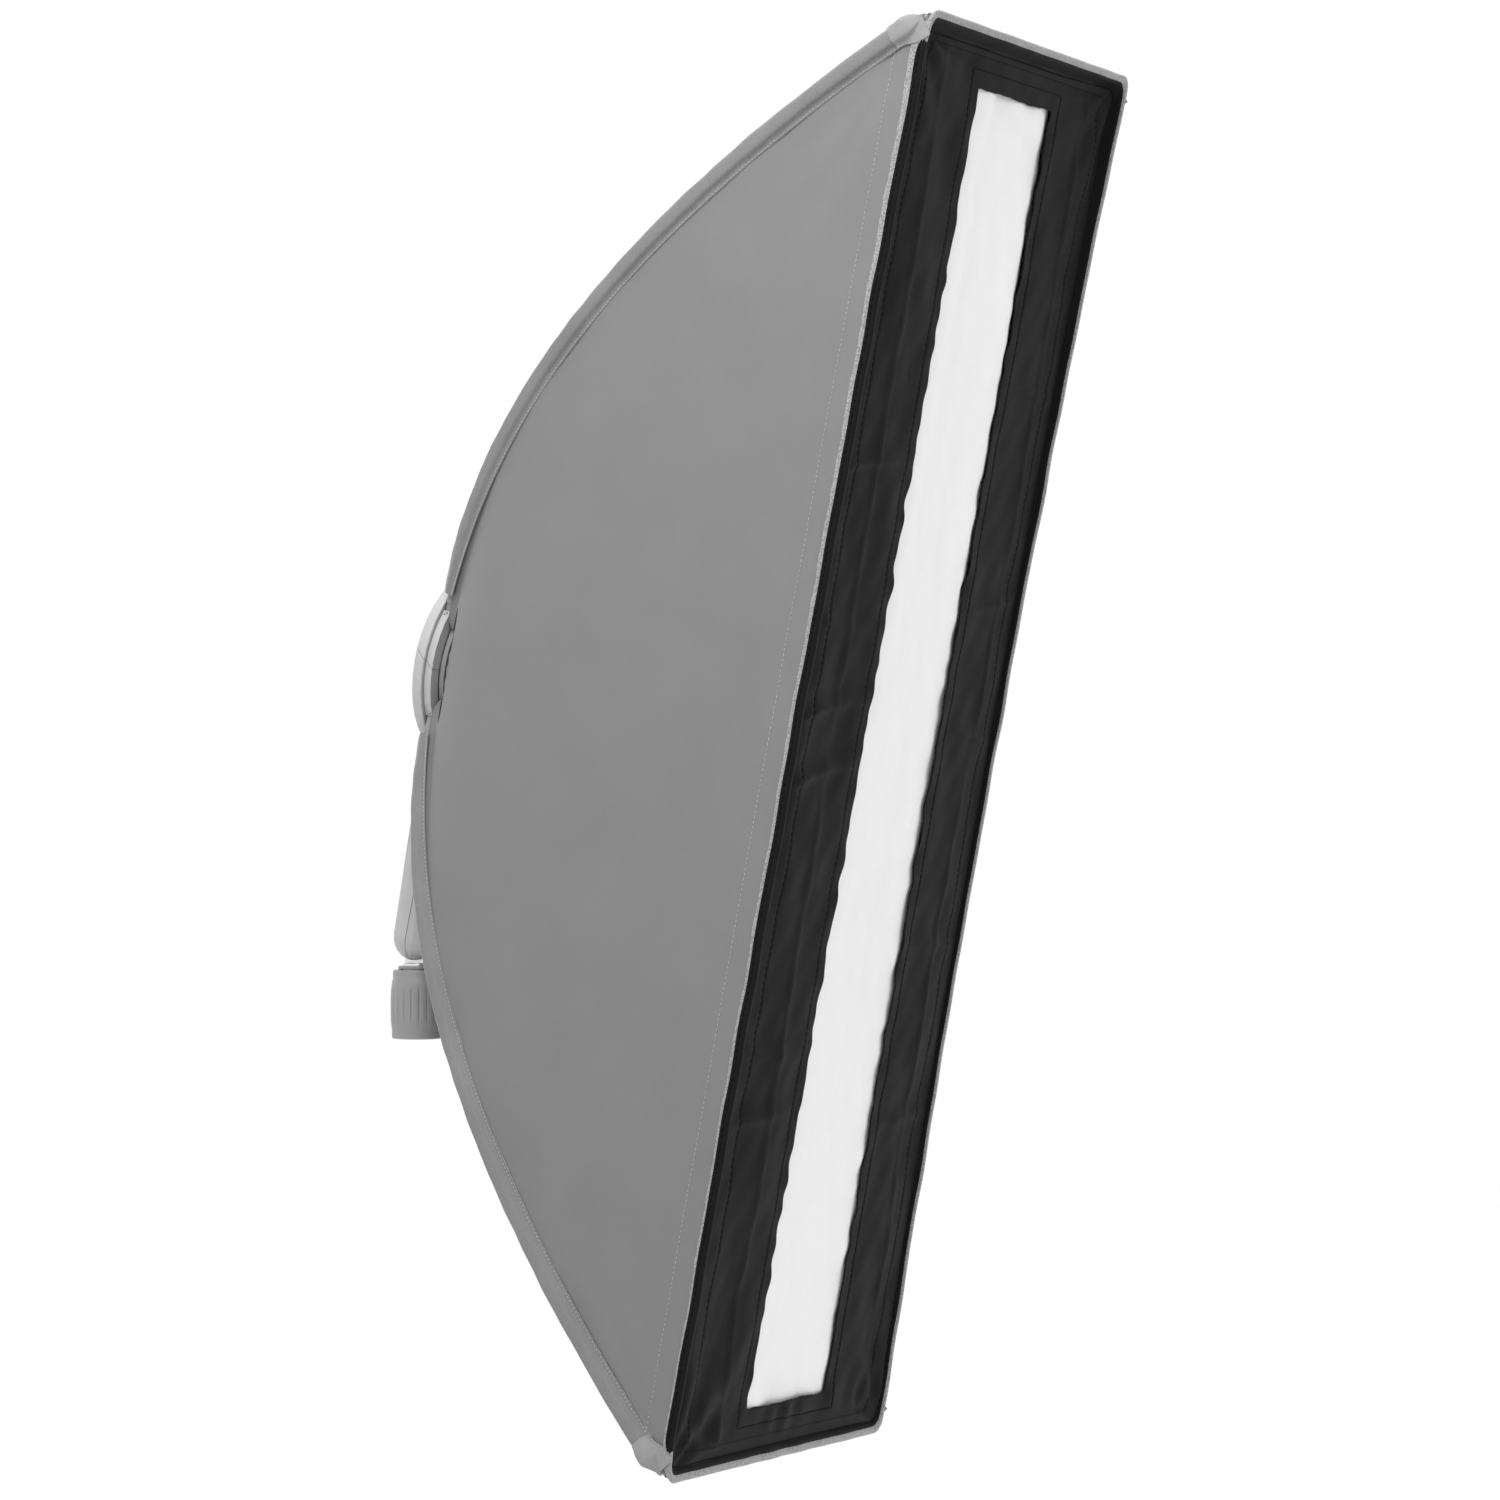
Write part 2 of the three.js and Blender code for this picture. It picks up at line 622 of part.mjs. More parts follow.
function armShell(rear) {
  const far = 60;
  const split = PIVOT.y;
  const keep = rear
    ? boxBetween([-far, split + GAP / 2, -250], [far, far, -40])
    : boxBetween([-far, -far, -250], [far, split - GAP / 2, -66]);
  const behindHub = boxBetween([-far, -far, -66], [far, -1.3, -30]);
  const ringRoom = plainRing(20, 50.9, -30, 40);
  const lugRoom = boxBetween([-LUG.half - GAP, -40, -LUG.to - GAP], [LUG.half + GAP, LUG.y1 + GAP, -40]);
  let solid = armBody(0)
    .intersect(toSolid(keep))
    .subtract(toSolid(behindHub))
    .subtract(toSolid(ringRoom))
    .subtract(toSolid(lugRoom))
    .subtract(armBody(2.6, 16).subtract(toSolid(boxBetween([-far, -far, -75], [far, far, -30]))))
    .subtract(tongueSlot())
    .subtract(toSolid(onAxle(AXLE_R + 0.3, 12)));
  for (const screw of ARM_SCREWS) {
    solid = screw.cut(solid, rear);
  }
  return toGeometry(solid);
}

// two screws hold the shells together, driven from the front, and one from behind holds the ring's lug
function frontScrew(z, head) {
  const y = { head, end: 8 };
  const at = (depth) => new THREE.Vector3(0, depth, z);
  return {
    solid: () =>
      toSolid(rodBetween(at(y.head), at(y.end), 1.4))
        .add(toSolid(rodBetween(at(y.head), at(y.head + 2), 2.6))),
    cut: (solid, rear) =>
      rear
        ? solid.add(toSolid(rodBetween(at(PIVOT.y + GAP / 2), at(11.4), 4)))
            .subtract(toSolid(rodBetween(at(-30), at(y.end + 0.5), 1.75)))
        : solid.add(toSolid(rodBetween(at(PIVOT.y - GAP / 2), at(y.head + 1), 4)))
            .subtract(toSolid(rodBetween(at(-40), at(y.head + 2.3), 3)))
            .subtract(toSolid(rodBetween(at(-30), at(0), 1.75))),
  };
}

function lugScrew() {
  const at = (depth) => new THREE.Vector3(0, depth, -57.5);
  return {
    solid: () =>
      toSolid(rodBetween(at(13.4), at(6.3), 1.3))
        .add(toSolid(rodBetween(at(13.4), at(11.8), 2.6))),
    cut: (solid, rear) =>
      rear
        ? solid
          .subtract(toSolid(rodBetween(at(30), at(11.5), 3)))
          .subtract(toSolid(rodBetween(at(30), at(0), 1.7)))
        : solid,
  };
}

const ARM_SCREWS = [frontScrew(-110, -14.2), frontScrew(-146, -18.8)];
const LUG_SCREW = lugScrew();
ARM_SCREWS.push(LUG_SCREW);

add(softbox, "arm_rear_shell", armShell(true), "arm");
add(softbox, "arm_front_shell", armShell(false), "arm");
add(softbox, "arm_screw_upper", toGeometry(ARM_SCREWS[0].solid()), "steel");
add(softbox, "arm_screw_lower", toGeometry(ARM_SCREWS[1].solid()), "steel");
add(softbox, "lug_screw", toGeometry(LUG_SCREW.solid()), "steel");
add(softbox, "tilt_axle", onAxle(AXLE_R, 11.6), "steel");

for (const [name, sign] of [["left", -1], ["right", 1]]) {
  const [near, away] = [sign * (TONGUE_HALF + GAP), sign * (SLOT_HALF - GAP)];
  const disc = (r) =>
    toSolid(rodBetween(
      new THREE.Vector3(near, PIVOT.y, PIVOT.z),
      new THREE.Vector3(away, PIVOT.y, PIVOT.z),
      r,
      24,
    ));
  const washer = disc(7.4).subtract(toSolid(onAxle(AXLE_R + 0.3, 20)));
  add(softbox, `friction_washer_${name}`, toGeometry(washer), "white");
}

// ---------------------------------------------------------------- stand socket and twist collar

// the stud: tongue on the axle, round neck, and the socket body that goes over the stand's spigot
function standStud() {
  const neck = ringAboutZ([[0.001, 43.5], [10, 43.5], [10, 49.8], [0.001, 49.8]], 32);
  const tongueBox = boxBetween([-TONGUE_HALF, -8, 44], [TONGUE_HALF, 8, PIVOT_HEIGHT]);
  const onPivot = (r, half) =>
    rodBetween(new THREE.Vector3(-half, 0, PIVOT_HEIGHT), new THREE.Vector3(half, 0, PIVOT_HEIGHT), r, 28);
  return toGeometry(
    toSolid(neck).add(toSolid(tongueBox)).add(toSolid(onPivot(8, TONGUE_HALF)))
      .subtract(toSolid(onPivot(AXLE_R + 0.3, 20))),
  );
}

const SOCKET_BODY = [
  [11.4, 0], [13.2, 0], [13.2, 40], [12.2, 43.1], [0.001, 43.1], [0.001, 39], [11.4, 39],
];
const COLLET = [[SPIGOT_R, 0.4], [11, 0.4], [11, 36], [SPIGOT_R, 36]];

function collet() {
  const split = boxBetween([-1, 0, -5], [1, 30, 60]);
  return toGeometry(toSolid(ringAboutZ(COLLET, 32)).subtract(toSolid(split)));
}

// ribbed twist collar: flutes round a slightly barrelled grip between two plain rings
function twistCollar() {
  const outer = [
    [13.6, 0.3], [16.6, 0.3], [17.4, 1], [17.4, 5.6], [17.5, 6.2],
    [18.1, 12], [COLLAR_R, 22], [18.1, 32], [17.2, 38.6],
    [16.8, 39.2], [16.8, 44.6], [16, 45.4], [13.6, 45.4],
  ];
  let solid = toSolid(ringAboutZ(outer, 44));
  for (let i = 0; i < COLLAR_FLUTES; i += 1) {
    const flute = new THREE.CylinderGeometry(0.8, 0.8, 29, 5);
    flute.rotateX(Math.PI / 2);
    flute.translate(COLLAR_R + 0.2, 0, 22.2);
    flute.rotateZ((i / COLLAR_FLUTES) * Math.PI * 2);
    solid = solid.subtract(toSolid(flute));
  }
  return toGeometry(solid);
}

add(root, "stand_stud", standStud(), "steel");
add(root, "stand_socket", ringAboutZ(SOCKET_BODY, 32), "dark");
add(root, "spigot_collet", collet(), "dark");
const CAP_RING = [[10.4, 45.8], [13.3, 45.8], [13.3, 47.6], [12.9, 48], [10.4, 48]];
add(root, "collar_cap_ring", ringAboutZ(CAP_RING, 32), "collar");
add(root, "twist_collar", twistCollar(), "collar");

export default root;
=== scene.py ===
import json
import math

import bmesh
import bpy
import numpy as np
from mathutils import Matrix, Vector


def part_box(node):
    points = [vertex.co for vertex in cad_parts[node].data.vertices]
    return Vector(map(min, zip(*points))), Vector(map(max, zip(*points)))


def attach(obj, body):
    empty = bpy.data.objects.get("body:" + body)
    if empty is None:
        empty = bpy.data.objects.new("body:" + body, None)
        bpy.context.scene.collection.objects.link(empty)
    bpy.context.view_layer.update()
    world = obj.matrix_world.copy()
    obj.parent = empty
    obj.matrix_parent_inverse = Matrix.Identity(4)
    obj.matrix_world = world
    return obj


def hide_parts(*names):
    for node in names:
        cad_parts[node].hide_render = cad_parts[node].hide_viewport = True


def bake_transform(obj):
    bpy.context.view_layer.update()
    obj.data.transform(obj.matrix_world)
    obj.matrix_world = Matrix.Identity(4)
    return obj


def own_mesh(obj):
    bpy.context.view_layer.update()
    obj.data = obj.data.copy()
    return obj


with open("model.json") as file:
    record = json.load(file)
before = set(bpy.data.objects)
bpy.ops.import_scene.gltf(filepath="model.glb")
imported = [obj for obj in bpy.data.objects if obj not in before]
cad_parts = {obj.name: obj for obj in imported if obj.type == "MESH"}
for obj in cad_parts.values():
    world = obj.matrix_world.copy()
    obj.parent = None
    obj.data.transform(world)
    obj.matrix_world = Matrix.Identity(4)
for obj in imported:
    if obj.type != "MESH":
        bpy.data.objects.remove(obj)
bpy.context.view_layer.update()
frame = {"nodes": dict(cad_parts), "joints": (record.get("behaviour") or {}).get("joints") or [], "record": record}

# Strip softbox on a tilting stand arm. Sizes are millimetres in the softbox frame: X right, Z up the long
# side, the lit front faces -Y, and the origin is the centre of the hub ring.
# to_row() carries points from there to the row frame, in metres.

MM = 0.001


# ---------------------------------------------------------------- camera, light and floor

CAMERA_AT = (-2.7625, -1.6671, 0.1312)
CAMERA_LOOK = Vector((0.889, 0.4575, 0.0183))
CAMERA_LENS = 117.27
FLOOR_BELOW = 1.1  # the socket stands on a light stand, this far above the floor


def make_camera():
    data = bpy.data.cameras.new("camera")
    data.lens = CAMERA_LENS
    data.clip_end = 60
    camera = bpy.data.objects.new("camera", data)
    camera.location = CAMERA_AT
    camera.rotation_euler = CAMERA_LOOK.to_track_quat("-Z", "Y").to_euler()
    bpy.context.collection.objects.link(camera)
    bpy.context.scene.camera = camera


def make_world():
    """A white studio: brighter overhead, dimmer from below."""
    world = bpy.data.worlds.new("studio")
    bpy.context.scene.world = world
    world.use_nodes = True
    nodes = world.node_tree.nodes
    links = world.node_tree.links
    place = nodes.new("ShaderNodeTexCoord")
    split = nodes.new("ShaderNodeSeparateXYZ")
    ramp = nodes.new("ShaderNodeValToRGB")
    height = nodes.new("ShaderNodeMapRange")
    height.inputs["From Min"].default_value = -1
    links.new(place.outputs["Generated"], split.inputs[0])
    links.new(split.outputs["Z"], height.inputs["Value"])
    links.new(height.outputs[0], ramp.inputs[0])
    links.new(ramp.outputs[0], nodes["Background"].inputs["Color"])
    levels = [(0.0, 0.4), (0.36, 0.5), (0.42, 1.0), (0.6, 1.0), (0.74, 0.5), (1.0, 0.6)]
    ramp.color_ramp.elements[0].position = levels[0][0]
    ramp.color_ramp.elements[1].position = levels[-1][0]
    for position, _ in levels[1:-1]:
        ramp.color_ramp.elements.new(position)
    for element, (_, level) in zip(ramp.color_ramp.elements, levels):
        element.color = (level, level, level, 1)


def area_light(name, at, aim, size, power):
    data = bpy.data.lights.new(name, "AREA")
    data.energy = power
    data.shape = "DISK"
    data.size = size
    light = bpy.data.objects.new(name, data)
    light.location = at
    light.rotation_euler = (Vector(aim) - Vector(at)).to_track_quat("-Z", "Y").to_euler()
    bpy.context.collection.objects.link(light)


def sky_light(strength):
    """A wide soft light straight overhead, which also whitens the floor."""
    data = bpy.data.lights.new("overhead", "SUN")
    data.energy = strength
    data.angle = math.radians(40)
    light = bpy.data.objects.new("overhead", data)
    light.location = (0, 0, 4)
    bpy.context.collection.objects.link(light)


def make_floor():
    place = (0, 0, -FLOOR_BELOW)
    bpy.ops.mesh.primitive_circle_add(vertices=96, radius=14, fill_type="NGON", location=place)
    floor = bpy.context.object
    floor.name = "floor"
    paint = Paint("floor_paint", {"Base Color": (0.93, 0.93, 0.93, 1), "Roughness": 0.9})
    floor.data.materials.append(paint.material)


# ---------------------------------------------------------------- materials

class Paint:
    """A principled material under construction."""

    def __init__(self, name, sockets):
        self.material = bpy.data.materials.new(name)
        self.material.use_nodes = True
        self.tree = self.material.node_tree
        self.shader = self.tree.nodes["Principled BSDF"]
        for socket, value in sockets.items():
            self.shader.inputs[socket].default_value = value
        self.normal = None

    def node(self, kind, inputs=(), **settings):
        made = self.tree.nodes.new("ShaderNode" + kind)
        for key, value in settings.items():
            setattr(made, key, value)
        for key, value in dict(inputs).items():
            if isinstance(value, bpy.types.NodeSocket):
                self.tree.links.new(value, made.inputs[key])
            else:
                made.inputs[key].default_value = value
        return made

    def math(self, operation, a, b=0.0, clamp=False):
        return self.node("Math", {0: a, 1: b}, operation=operation, use_clamp=clamp).outputs[0]

    def where(self):
        """Object coordinates, metres in the row frame."""
        return self.node("TexCoord").outputs["Object"]

    def attribute(self, name, output="Vector"):
        return self.node("Attribute", attribute_name=name).outputs[output]

    def noise(self, size_mm, detail=2.0, vector=None, roughness=0.5):
        vector = vector or self.where()
        settings = {"Vector": vector, "Scale": 1 / (size_mm * MM), "Detail": detail, "Roughness": roughness}
        return self.node("TexNoise", settings).outputs[0]

    def stretch(self, vector, scale):
        return self.node("Mapping", {"Vector": vector, "Scale": scale}).outputs[0]

    def ramp(self, value, *stops):
        made = self.node("ValToRGB", {0: value})
        elements = made.color_ramp.elements
        while len(elements) < len(stops):
            elements.new(0.5)
        for element, (position, grey) in zip(elements, stops):
            element.position = position
            element.color = (grey, grey, grey * TINT, 1)
        return made.outputs[0]

    def mix(self, share, a, b):
        made = self.node("Mix", data_type="RGBA")
        for socket, value in ((made.inputs["Factor"], share), (made.inputs[6], a), (made.inputs[7], b)):
            if isinstance(value, bpy.types.NodeSocket):
                self.tree.links.new(value, socket)
            else:
                socket.default_value = value
        return made.outputs[2]

    def bump(self, height, depth_mm, strength=1.0):
        inputs = {"Height": height, "Strength": strength, "Distance": depth_mm * MM}
        if self.normal is not None:
            inputs["Normal"] = self.normal
        self.normal = self.node("Bump", inputs).outputs[0]

    def set(self, socket, value):
        self.tree.links.new(value, self.shader.inputs[socket])

    def done(self):
        if self.normal is not None:
            self.set("Normal", self.normal)
        return self.material


TINT = 1.004  # the greys are a touch cool


def grey(level):
    return (level, level, level * TINT, 1)


def threads(paint, pitch_mm):
    """Height of a plain weave, with threads along the cloth's own two directions."""
    place = paint.attribute("cloth")
    axes = paint.node("SeparateXYZ", {0: place})
    turns = 2 * math.pi / (pitch_mm * MM)
    across = paint.math("SINE", paint.math("MULTIPLY", axes.outputs[0], turns))
    along = paint.math("SINE", paint.math("MULTIPLY", axes.outputs[1], turns))
    return paint.math("MULTIPLY", across, along)


def cloth_paint(name, level, pitch_mm, depth_mm, spread=0.06, seam_shade_level=0.55, creases=0.0, **sockets):
    """Woven cloth: thread relief, uneven dye, and painted shade that darkens seams and folds where the seam
    attribute rises.
    """
    extra = {socket.replace("_", " "): value for socket, value in sockets.items()}
    paint = Paint(name, {"Roughness": 0.85, "Specular IOR Level": 0.25, **extra})
    weave = threads(paint, pitch_mm)
    blotch = paint.noise(38, 3)
    grain = paint.noise(1.5, 2, roughness=0.7)
    value = paint.math("ADD", paint.math("MULTIPLY", blotch, 0.5), paint.math("MULTIPLY", grain, 0.5))
    colour = paint.ramp(value, (0.3, level * (1 - spread)), (0.7, level * (1 + spread)))
    # painted shade: along seams and folds the colour is mixed toward a third of its level
    shade = paint.math("MULTIPLY", paint.attribute("seam_shade", "Fac"), 1 - seam_shade_level, clamp=True)
    colour = paint.mix(shade, colour, grey(level * 0.3))
    paint.set("Base Color", colour)
    if creases:
        folds = paint.noise(24, 4, paint.stretch(paint.where(), (1, 1, 0.45)), 0.6)
        paint.bump(folds, creases)
    paint.bump(paint.math("ADD", weave, paint.math("MULTIPLY", grain, 1.4)), depth_mm, 0.7)
    return paint.done()


def plastic_paint(name, level, rough=0.42, spread=0.05):
    """Moulded plastic: spark-eroded grain, softened edges that wear a little lighter."""
    paint = Paint(name, {"Roughness": rough, "Specular IOR Level": 0.45})
    soft = paint.node("Bevel", {"Radius": 0.45 * MM}, samples=4).outputs[0]
    flat = paint.node("NewGeometry").outputs["Normal"]
    facing = paint.node("VectorMath", {0: soft, 1: flat}, operation="DOT_PRODUCT").outputs["Value"]
    edge = paint.math("MULTIPLY", paint.math("SUBTRACT", 1.0, facing), 5.0, clamp=True)
    mottle = paint.noise(16, 4)
    colour = paint.ramp(mottle, (0.25, level * (1 - spread)), (0.75, level * (1 + spread)))
    worn = paint.math("MULTIPLY", edge, 0.35)
    paint.set("Base Color", paint.mix(worn, colour, grey(min(1, level * 1.45))))
    polish = paint.noise(9, 3)
    low, high = rough * 0.85, rough * 1.2
    paint.set("Roughness", paint.node("MapRange", {0: polish, "To Min": low, "To Max": high}).outputs[0])
    paint.normal = soft
    paint.bump(paint.noise(0.7, 2, roughness=0.6), 0.02, 0.6)
    return paint.done()


def metal_paint(name, level, rough=0.28, brush=(1, 1, 14)):
    """Drawn or turned metal with fine lines."""
    paint = Paint(name, {"Base Color": grey(level), "Metallic": 1.0, "Roughness": rough})
    lines = paint.noise(2.5, 3, paint.stretch(paint.where(), brush))
    paint.set("Base Color", paint.ramp(lines, (0.3, level * 0.86), (0.7, level)))
    low, high = rough * 0.8, rough * 1.3
    paint.set("Roughness", paint.node("MapRange", {0: lines, "To Min": low, "To Max": high}).outputs[0])
    paint.bump(lines, 0.01, 0.5)
    return paint.done()


def make_paints():
    return {
        "shell": cloth_paint("shell_cloth", 0.162, 1.0, 0.045, spread=0.05, creases=0.12, Sheen_Weight=0.18,
                             Sheen_Roughness=0.4),
        "silver": cloth_paint("silver_lining", 0.62, 1.0, 0.05, spread=0.05, creases=0.3, Metallic=0.55,
                              Roughness=0.42),
        "webbing": cloth_paint("sleeve_webbing", 0.178, 1.5, 0.12, spread=0.12, Sheen_Weight=0.7,
                               Sheen_Roughness=0.25),
        "patch": cloth_paint("pocket_cloth", 0.23, 0.9, 0.05, spread=0.09, Sheen_Weight=0.2,
                             Sheen_Roughness=0.4),
        "tape": tape_paint("loop_tape", 0.27),
        "mask": cloth_paint("mask_satin", 0.0085, 0.7, 0.03, spread=0.16, creases=0.3, Roughness=0.42,
                            Specular_IOR_Level=0.5, IOR=1.11),
        "thread": cloth_paint("black_thread", 0.003, 0.4, 0.03, Roughness=0.8, Specular_IOR_Level=0.1),
        "grey_thread": cloth_paint("grey_thread", 0.33, 0.4, 0.04, spread=0.15, Sheen_Weight=0.3),
        "white": cloth_paint("diffusion_cloth", 0.74, 0.6, 0.02, spread=0.02, seam_shade_level=0.9, creases=0.7,
                             Roughness=0.7),
        "hub": plastic_paint("hub_moulding", 0.37),
        "dark": plastic_paint("dark_moulding", 0.22, rough=0.5),
        "arm": plastic_paint("arm_moulding", 0.35, rough=0.36),
        "collar": plastic_paint("collar_moulding", 0.225, rough=0.42),
        "bearing": plastic_paint("bearing_polymer", 0.75, rough=0.3, spread=0.02),
        "steel": metal_paint("turned_steel", 0.82),
        "rod": metal_paint("spring_rod", 0.86, rough=0.22),
    }


def tape_paint(name, level):
    """Looped pile: short curly fibres in rows."""
    sheen = {"Sheen Weight": 0.5, "Sheen Roughness": 0.5}
    paint = Paint(name, {"Roughness": 0.95, "Specular IOR Level": 0.15, **sheen})
    pile = paint.noise(1.1, 3, roughness=0.8)
    cells = paint.node("TexVoronoi", {"Vector": paint.where(), "Scale": 1 / (1.3 * MM)}).outputs["Distance"]
    # painted shade: the colour darkens from the loops' centres into the hollows between them, where the bump sinks
    paint.set("Base Color", paint.ramp(cells, (0.0, level * 1.35), (0.7, level * 0.7)))
    paint.bump(paint.math("SUBTRACT", pile, cells), 0.5)
    return paint.done()


# ---------------------------------------------------------------- softbox frame and the frame rods' curve

turn = next(j for j in frame["joints"] if j["name"] == "softbox_turn")
HUB_CENTRE = np.array(turn["pos_m"])
BACK = -np.array(turn["axis"])
RIGHT = np.array([1.0, 0.0, 0.0])
AXES = np.array([RIGHT, BACK, np.cross(RIGHT, BACK)])

ROD_BASE = np.array([46.0, -13.0, 33.0])
ROD_TIP = np.array([147.0, -317.5, 440.0])
ROD_START_SLOPE = 0.13
ROD_CUBIC = -0.09
ROD_RADIUS = 2.0
CORNERS = {"upper_left": (-1, 1), "upper_right": (1, 1), "lower_left": (-1, -1), "lower_right": (1, -1)}
LEAF = {corner: corner.replace("upper", "top").replace("lower", "bottom") for corner in CORNERS}


def to_row(points):
    return HUB_CENTRE + MM * (np.asarray(points, float) @ AXES)


def rod_points(s, corner=(1, 1)):
    s = np.asarray(s, float)
    rise = ROD_START_SLOPE * s + (1 - ROD_START_SLOPE - ROD_CUBIC) * s**2 + ROD_CUBIC * s**3
    x = ROD_BASE[0] + (ROD_TIP[0] - ROD_BASE[0]) * s
    y = ROD_BASE[1] + (ROD_TIP[1] - ROD_BASE[1]) * rise
    z = ROD_BASE[2] + (ROD_TIP[2] - ROD_BASE[2]) * s
    return np.stack([x * corner[0], y, z * corner[1]], -1)


def unit(vectors):
    return vectors / np.maximum(np.linalg.norm(vectors, axis=-1, keepdims=True), 1e-12)


def rod_tangents(s, corner=(1, 1)):
    return unit(rod_points(np.asarray(s) + 0.002, corner) - rod_points(np.asarray(s) - 0.002, corner))


def share_at_y(y):
    low, high = 0.0, 1.2
    for _ in range(40):
        middle = (low + high) / 2
        low, high = (middle, high) if rod_points(middle)[1] > y else (low, middle)
    return low


def smooth(low, high, value):
    t = np.clip((value - low) / (high - low), 0, 1)
    return t * t * (3 - 2 * t)


def ripple(u, v, size, seed, count=7, stretch=1.0):
    """Soft uneven waves of about the given length, roughly -1 to 1. stretch lengthens them along v."""
    draw = np.random.default_rng(seed)
    total = np.zeros(np.broadcast(u, v).shape)
    for _ in range(count):
        angle = draw.uniform(0, math.pi)
        length = size * draw.uniform(0.6, 1.7)
        phase = draw.uniform(0, 2 * math.pi)
        total += np.sin(2 * math.pi * (u * math.cos(angle) + v * math.sin(angle) / stretch) / length + phase)
    return total / math.sqrt(count)


# ---------------------------------------------------------------- mesh building

def link(name, mesh):
    piece = bpy.data.objects.new(name, mesh)
    bpy.context.collection.objects.link(piece)
    return piece


def grid_normals(grid, closed_columns=False):
    along = np.gradient(grid, axis=0)
    if closed_columns:
        across = np.roll(grid, -1, 1) - np.roll(grid, 1, 1)
    else:
        across = np.gradient(grid, axis=1)
    return unit(np.cross(along, across))


def border_faces(outer, inner):
    """Faces that close the four borders between a grid's outer and inner vertex numbers."""
    faces = []
    rows, columns = outer.shape
    for c in range(columns - 1):
        faces.append((outer[0, c], outer[0, c + 1], inner[0, c + 1], inner[0, c]))
        faces.append((outer[-1, c + 1], outer[-1, c], inner[-1, c], inner[-1, c + 1]))
    for r in range(rows - 1):
        faces.append((outer[r + 1, 0], outer[r, 0], inner[r, 0], inner[r + 1, 0]))
        faces.append((outer[r, -1], outer[r + 1, -1], inner[r + 1, -1], inner[r, -1]))
    return np.array(faces)


def cloth_piece(name, grid, normals, thickness, paints, cloth, seam_shade=None):
    """A closed sheet of cloth. grid holds its outer face in rows and columns, and normals point out of it."""
    rows, columns = grid.shape[:2]
    numbers = np.arange(rows * columns).reshape(rows, columns)
    inner = numbers + rows * columns
    quads = np.stack([numbers[:-1, :-1], numbers[1:, :-1], numbers[1:, 1:], numbers[:-1, 1:]], -1)
    quads = quads.reshape(-1, 4)
    rims = border_faces(numbers, inner)
    # both faces start at the same corner, so that they are split along the same diagonal
    faces = np.concatenate([quads, quads[:, [0, 3, 2, 1]] + rows * columns, rims])
    natural = np.cross(grid[1, 0] - grid[0, 0], grid[0, 1] - grid[0, 0])
    if natural @ normals[0, 0] < 0:
        faces = faces[:, ::-1]
    points = np.concatenate([grid.reshape(-1, 3), (grid - normals * thickness).reshape(-1, 3)])
    mesh = bpy.data.meshes.new(name)
    mesh.from_pydata(to_row(points).tolist(), [], faces.tolist())
    for paint in paints:
        mesh.materials.append(paint)
    side = np.zeros(len(faces), np.int32)
    side[len(quads):2 * len(quads)] = len(paints) - 1
    mesh.polygons.foreach_set("material_index", side)
    mesh.polygons.foreach_set("use_smooth", np.ones(len(faces), bool))
    # the seam share, which paints shade along seams and folds, goes to both faces
    both_seam_shades = None if seam_shade is None else np.tile(seam_shade.ravel(), 2)
    give_attributes(mesh, np.tile(cloth.reshape(-1, 2), (2, 1)), both_seam_shades)
    facing = np.concatenate([normals.reshape(-1, 3), -normals.reshape(-1, 3)]) @ AXES
    corner_normals = facing[faces.ravel()]
    corner_normals[8 * len(quads):] = 0
    mesh.normals_split_custom_set(corner_normals.tolist())
    return link(name, mesh)


LEAST_AREA_SHARE = 0.3


def declare_cut(grid, cloth):
    """Works out a sheet's span of cloth coordinates and the area of its grid, kept within that span's rectangle,
    and does nothing more with them.

    The mask's ends fall below it, because their span is taken along the mitre, and come out 12 to
    26% too big. The diffuser and the baffle are a little above the rectangle, because of their waves.
    """
    width, length = np.ptp(cloth.reshape(-1, 2), axis=0) * MM
    doubled = np.cross(grid[1:, 1:] - grid[:-1, :-1], grid[1:, :-1] - grid[:-1, 1:])
    area = np.linalg.norm(doubled, axis=-1).sum() / 2 * MM**2
    area = float(np.clip(area, LEAST_AREA_SHARE * width * length, width * length))


def give_attributes(mesh, cloth, seam_shade=None):
    """cloth holds millimetres along the cloth's own directions; the seam share is 1 in a seam and sets the painted
    shade there.
    """
    place = mesh.attributes.new("cloth", "FLOAT_VECTOR", "POINT")
    vectors = np.column_stack([cloth * MM, np.zeros(len(cloth))])
    place.data.foreach_set("vector", vectors.astype(np.float32).ravel())
    if seam_shade is not None:
        mesh.attributes.new("seam_shade", "FLOAT", "POINT").data.foreach_set("value", seam_shade.astype(np.float32))


def resample(points, step):
    """Stations in the middle of equal steps along a path, and the path's length at each of its points."""
    lengths = np.linalg.norm(np.diff(points, axis=0), axis=1)
    run = np.concatenate([[0], np.cumsum(lengths)])
    count = max(int(run[-1] / step), 1)
    stations = (np.arange(count) + 0.5) * run[-1] / count
    return stations, run


MASK_STITCH = {"long": 3.0, "pitch": 4.4, "radius": 0.5}
PANEL_STITCH = {"long": 2.4, "pitch": 3.2, "radius": 0.25}
SLEEVE_STITCH = {"long": 2.0, "pitch": 2.8, "radius": 0.28}
POCKET_STITCH = {"long": 2.0, "pitch": 2.8, "radius": 0.25}


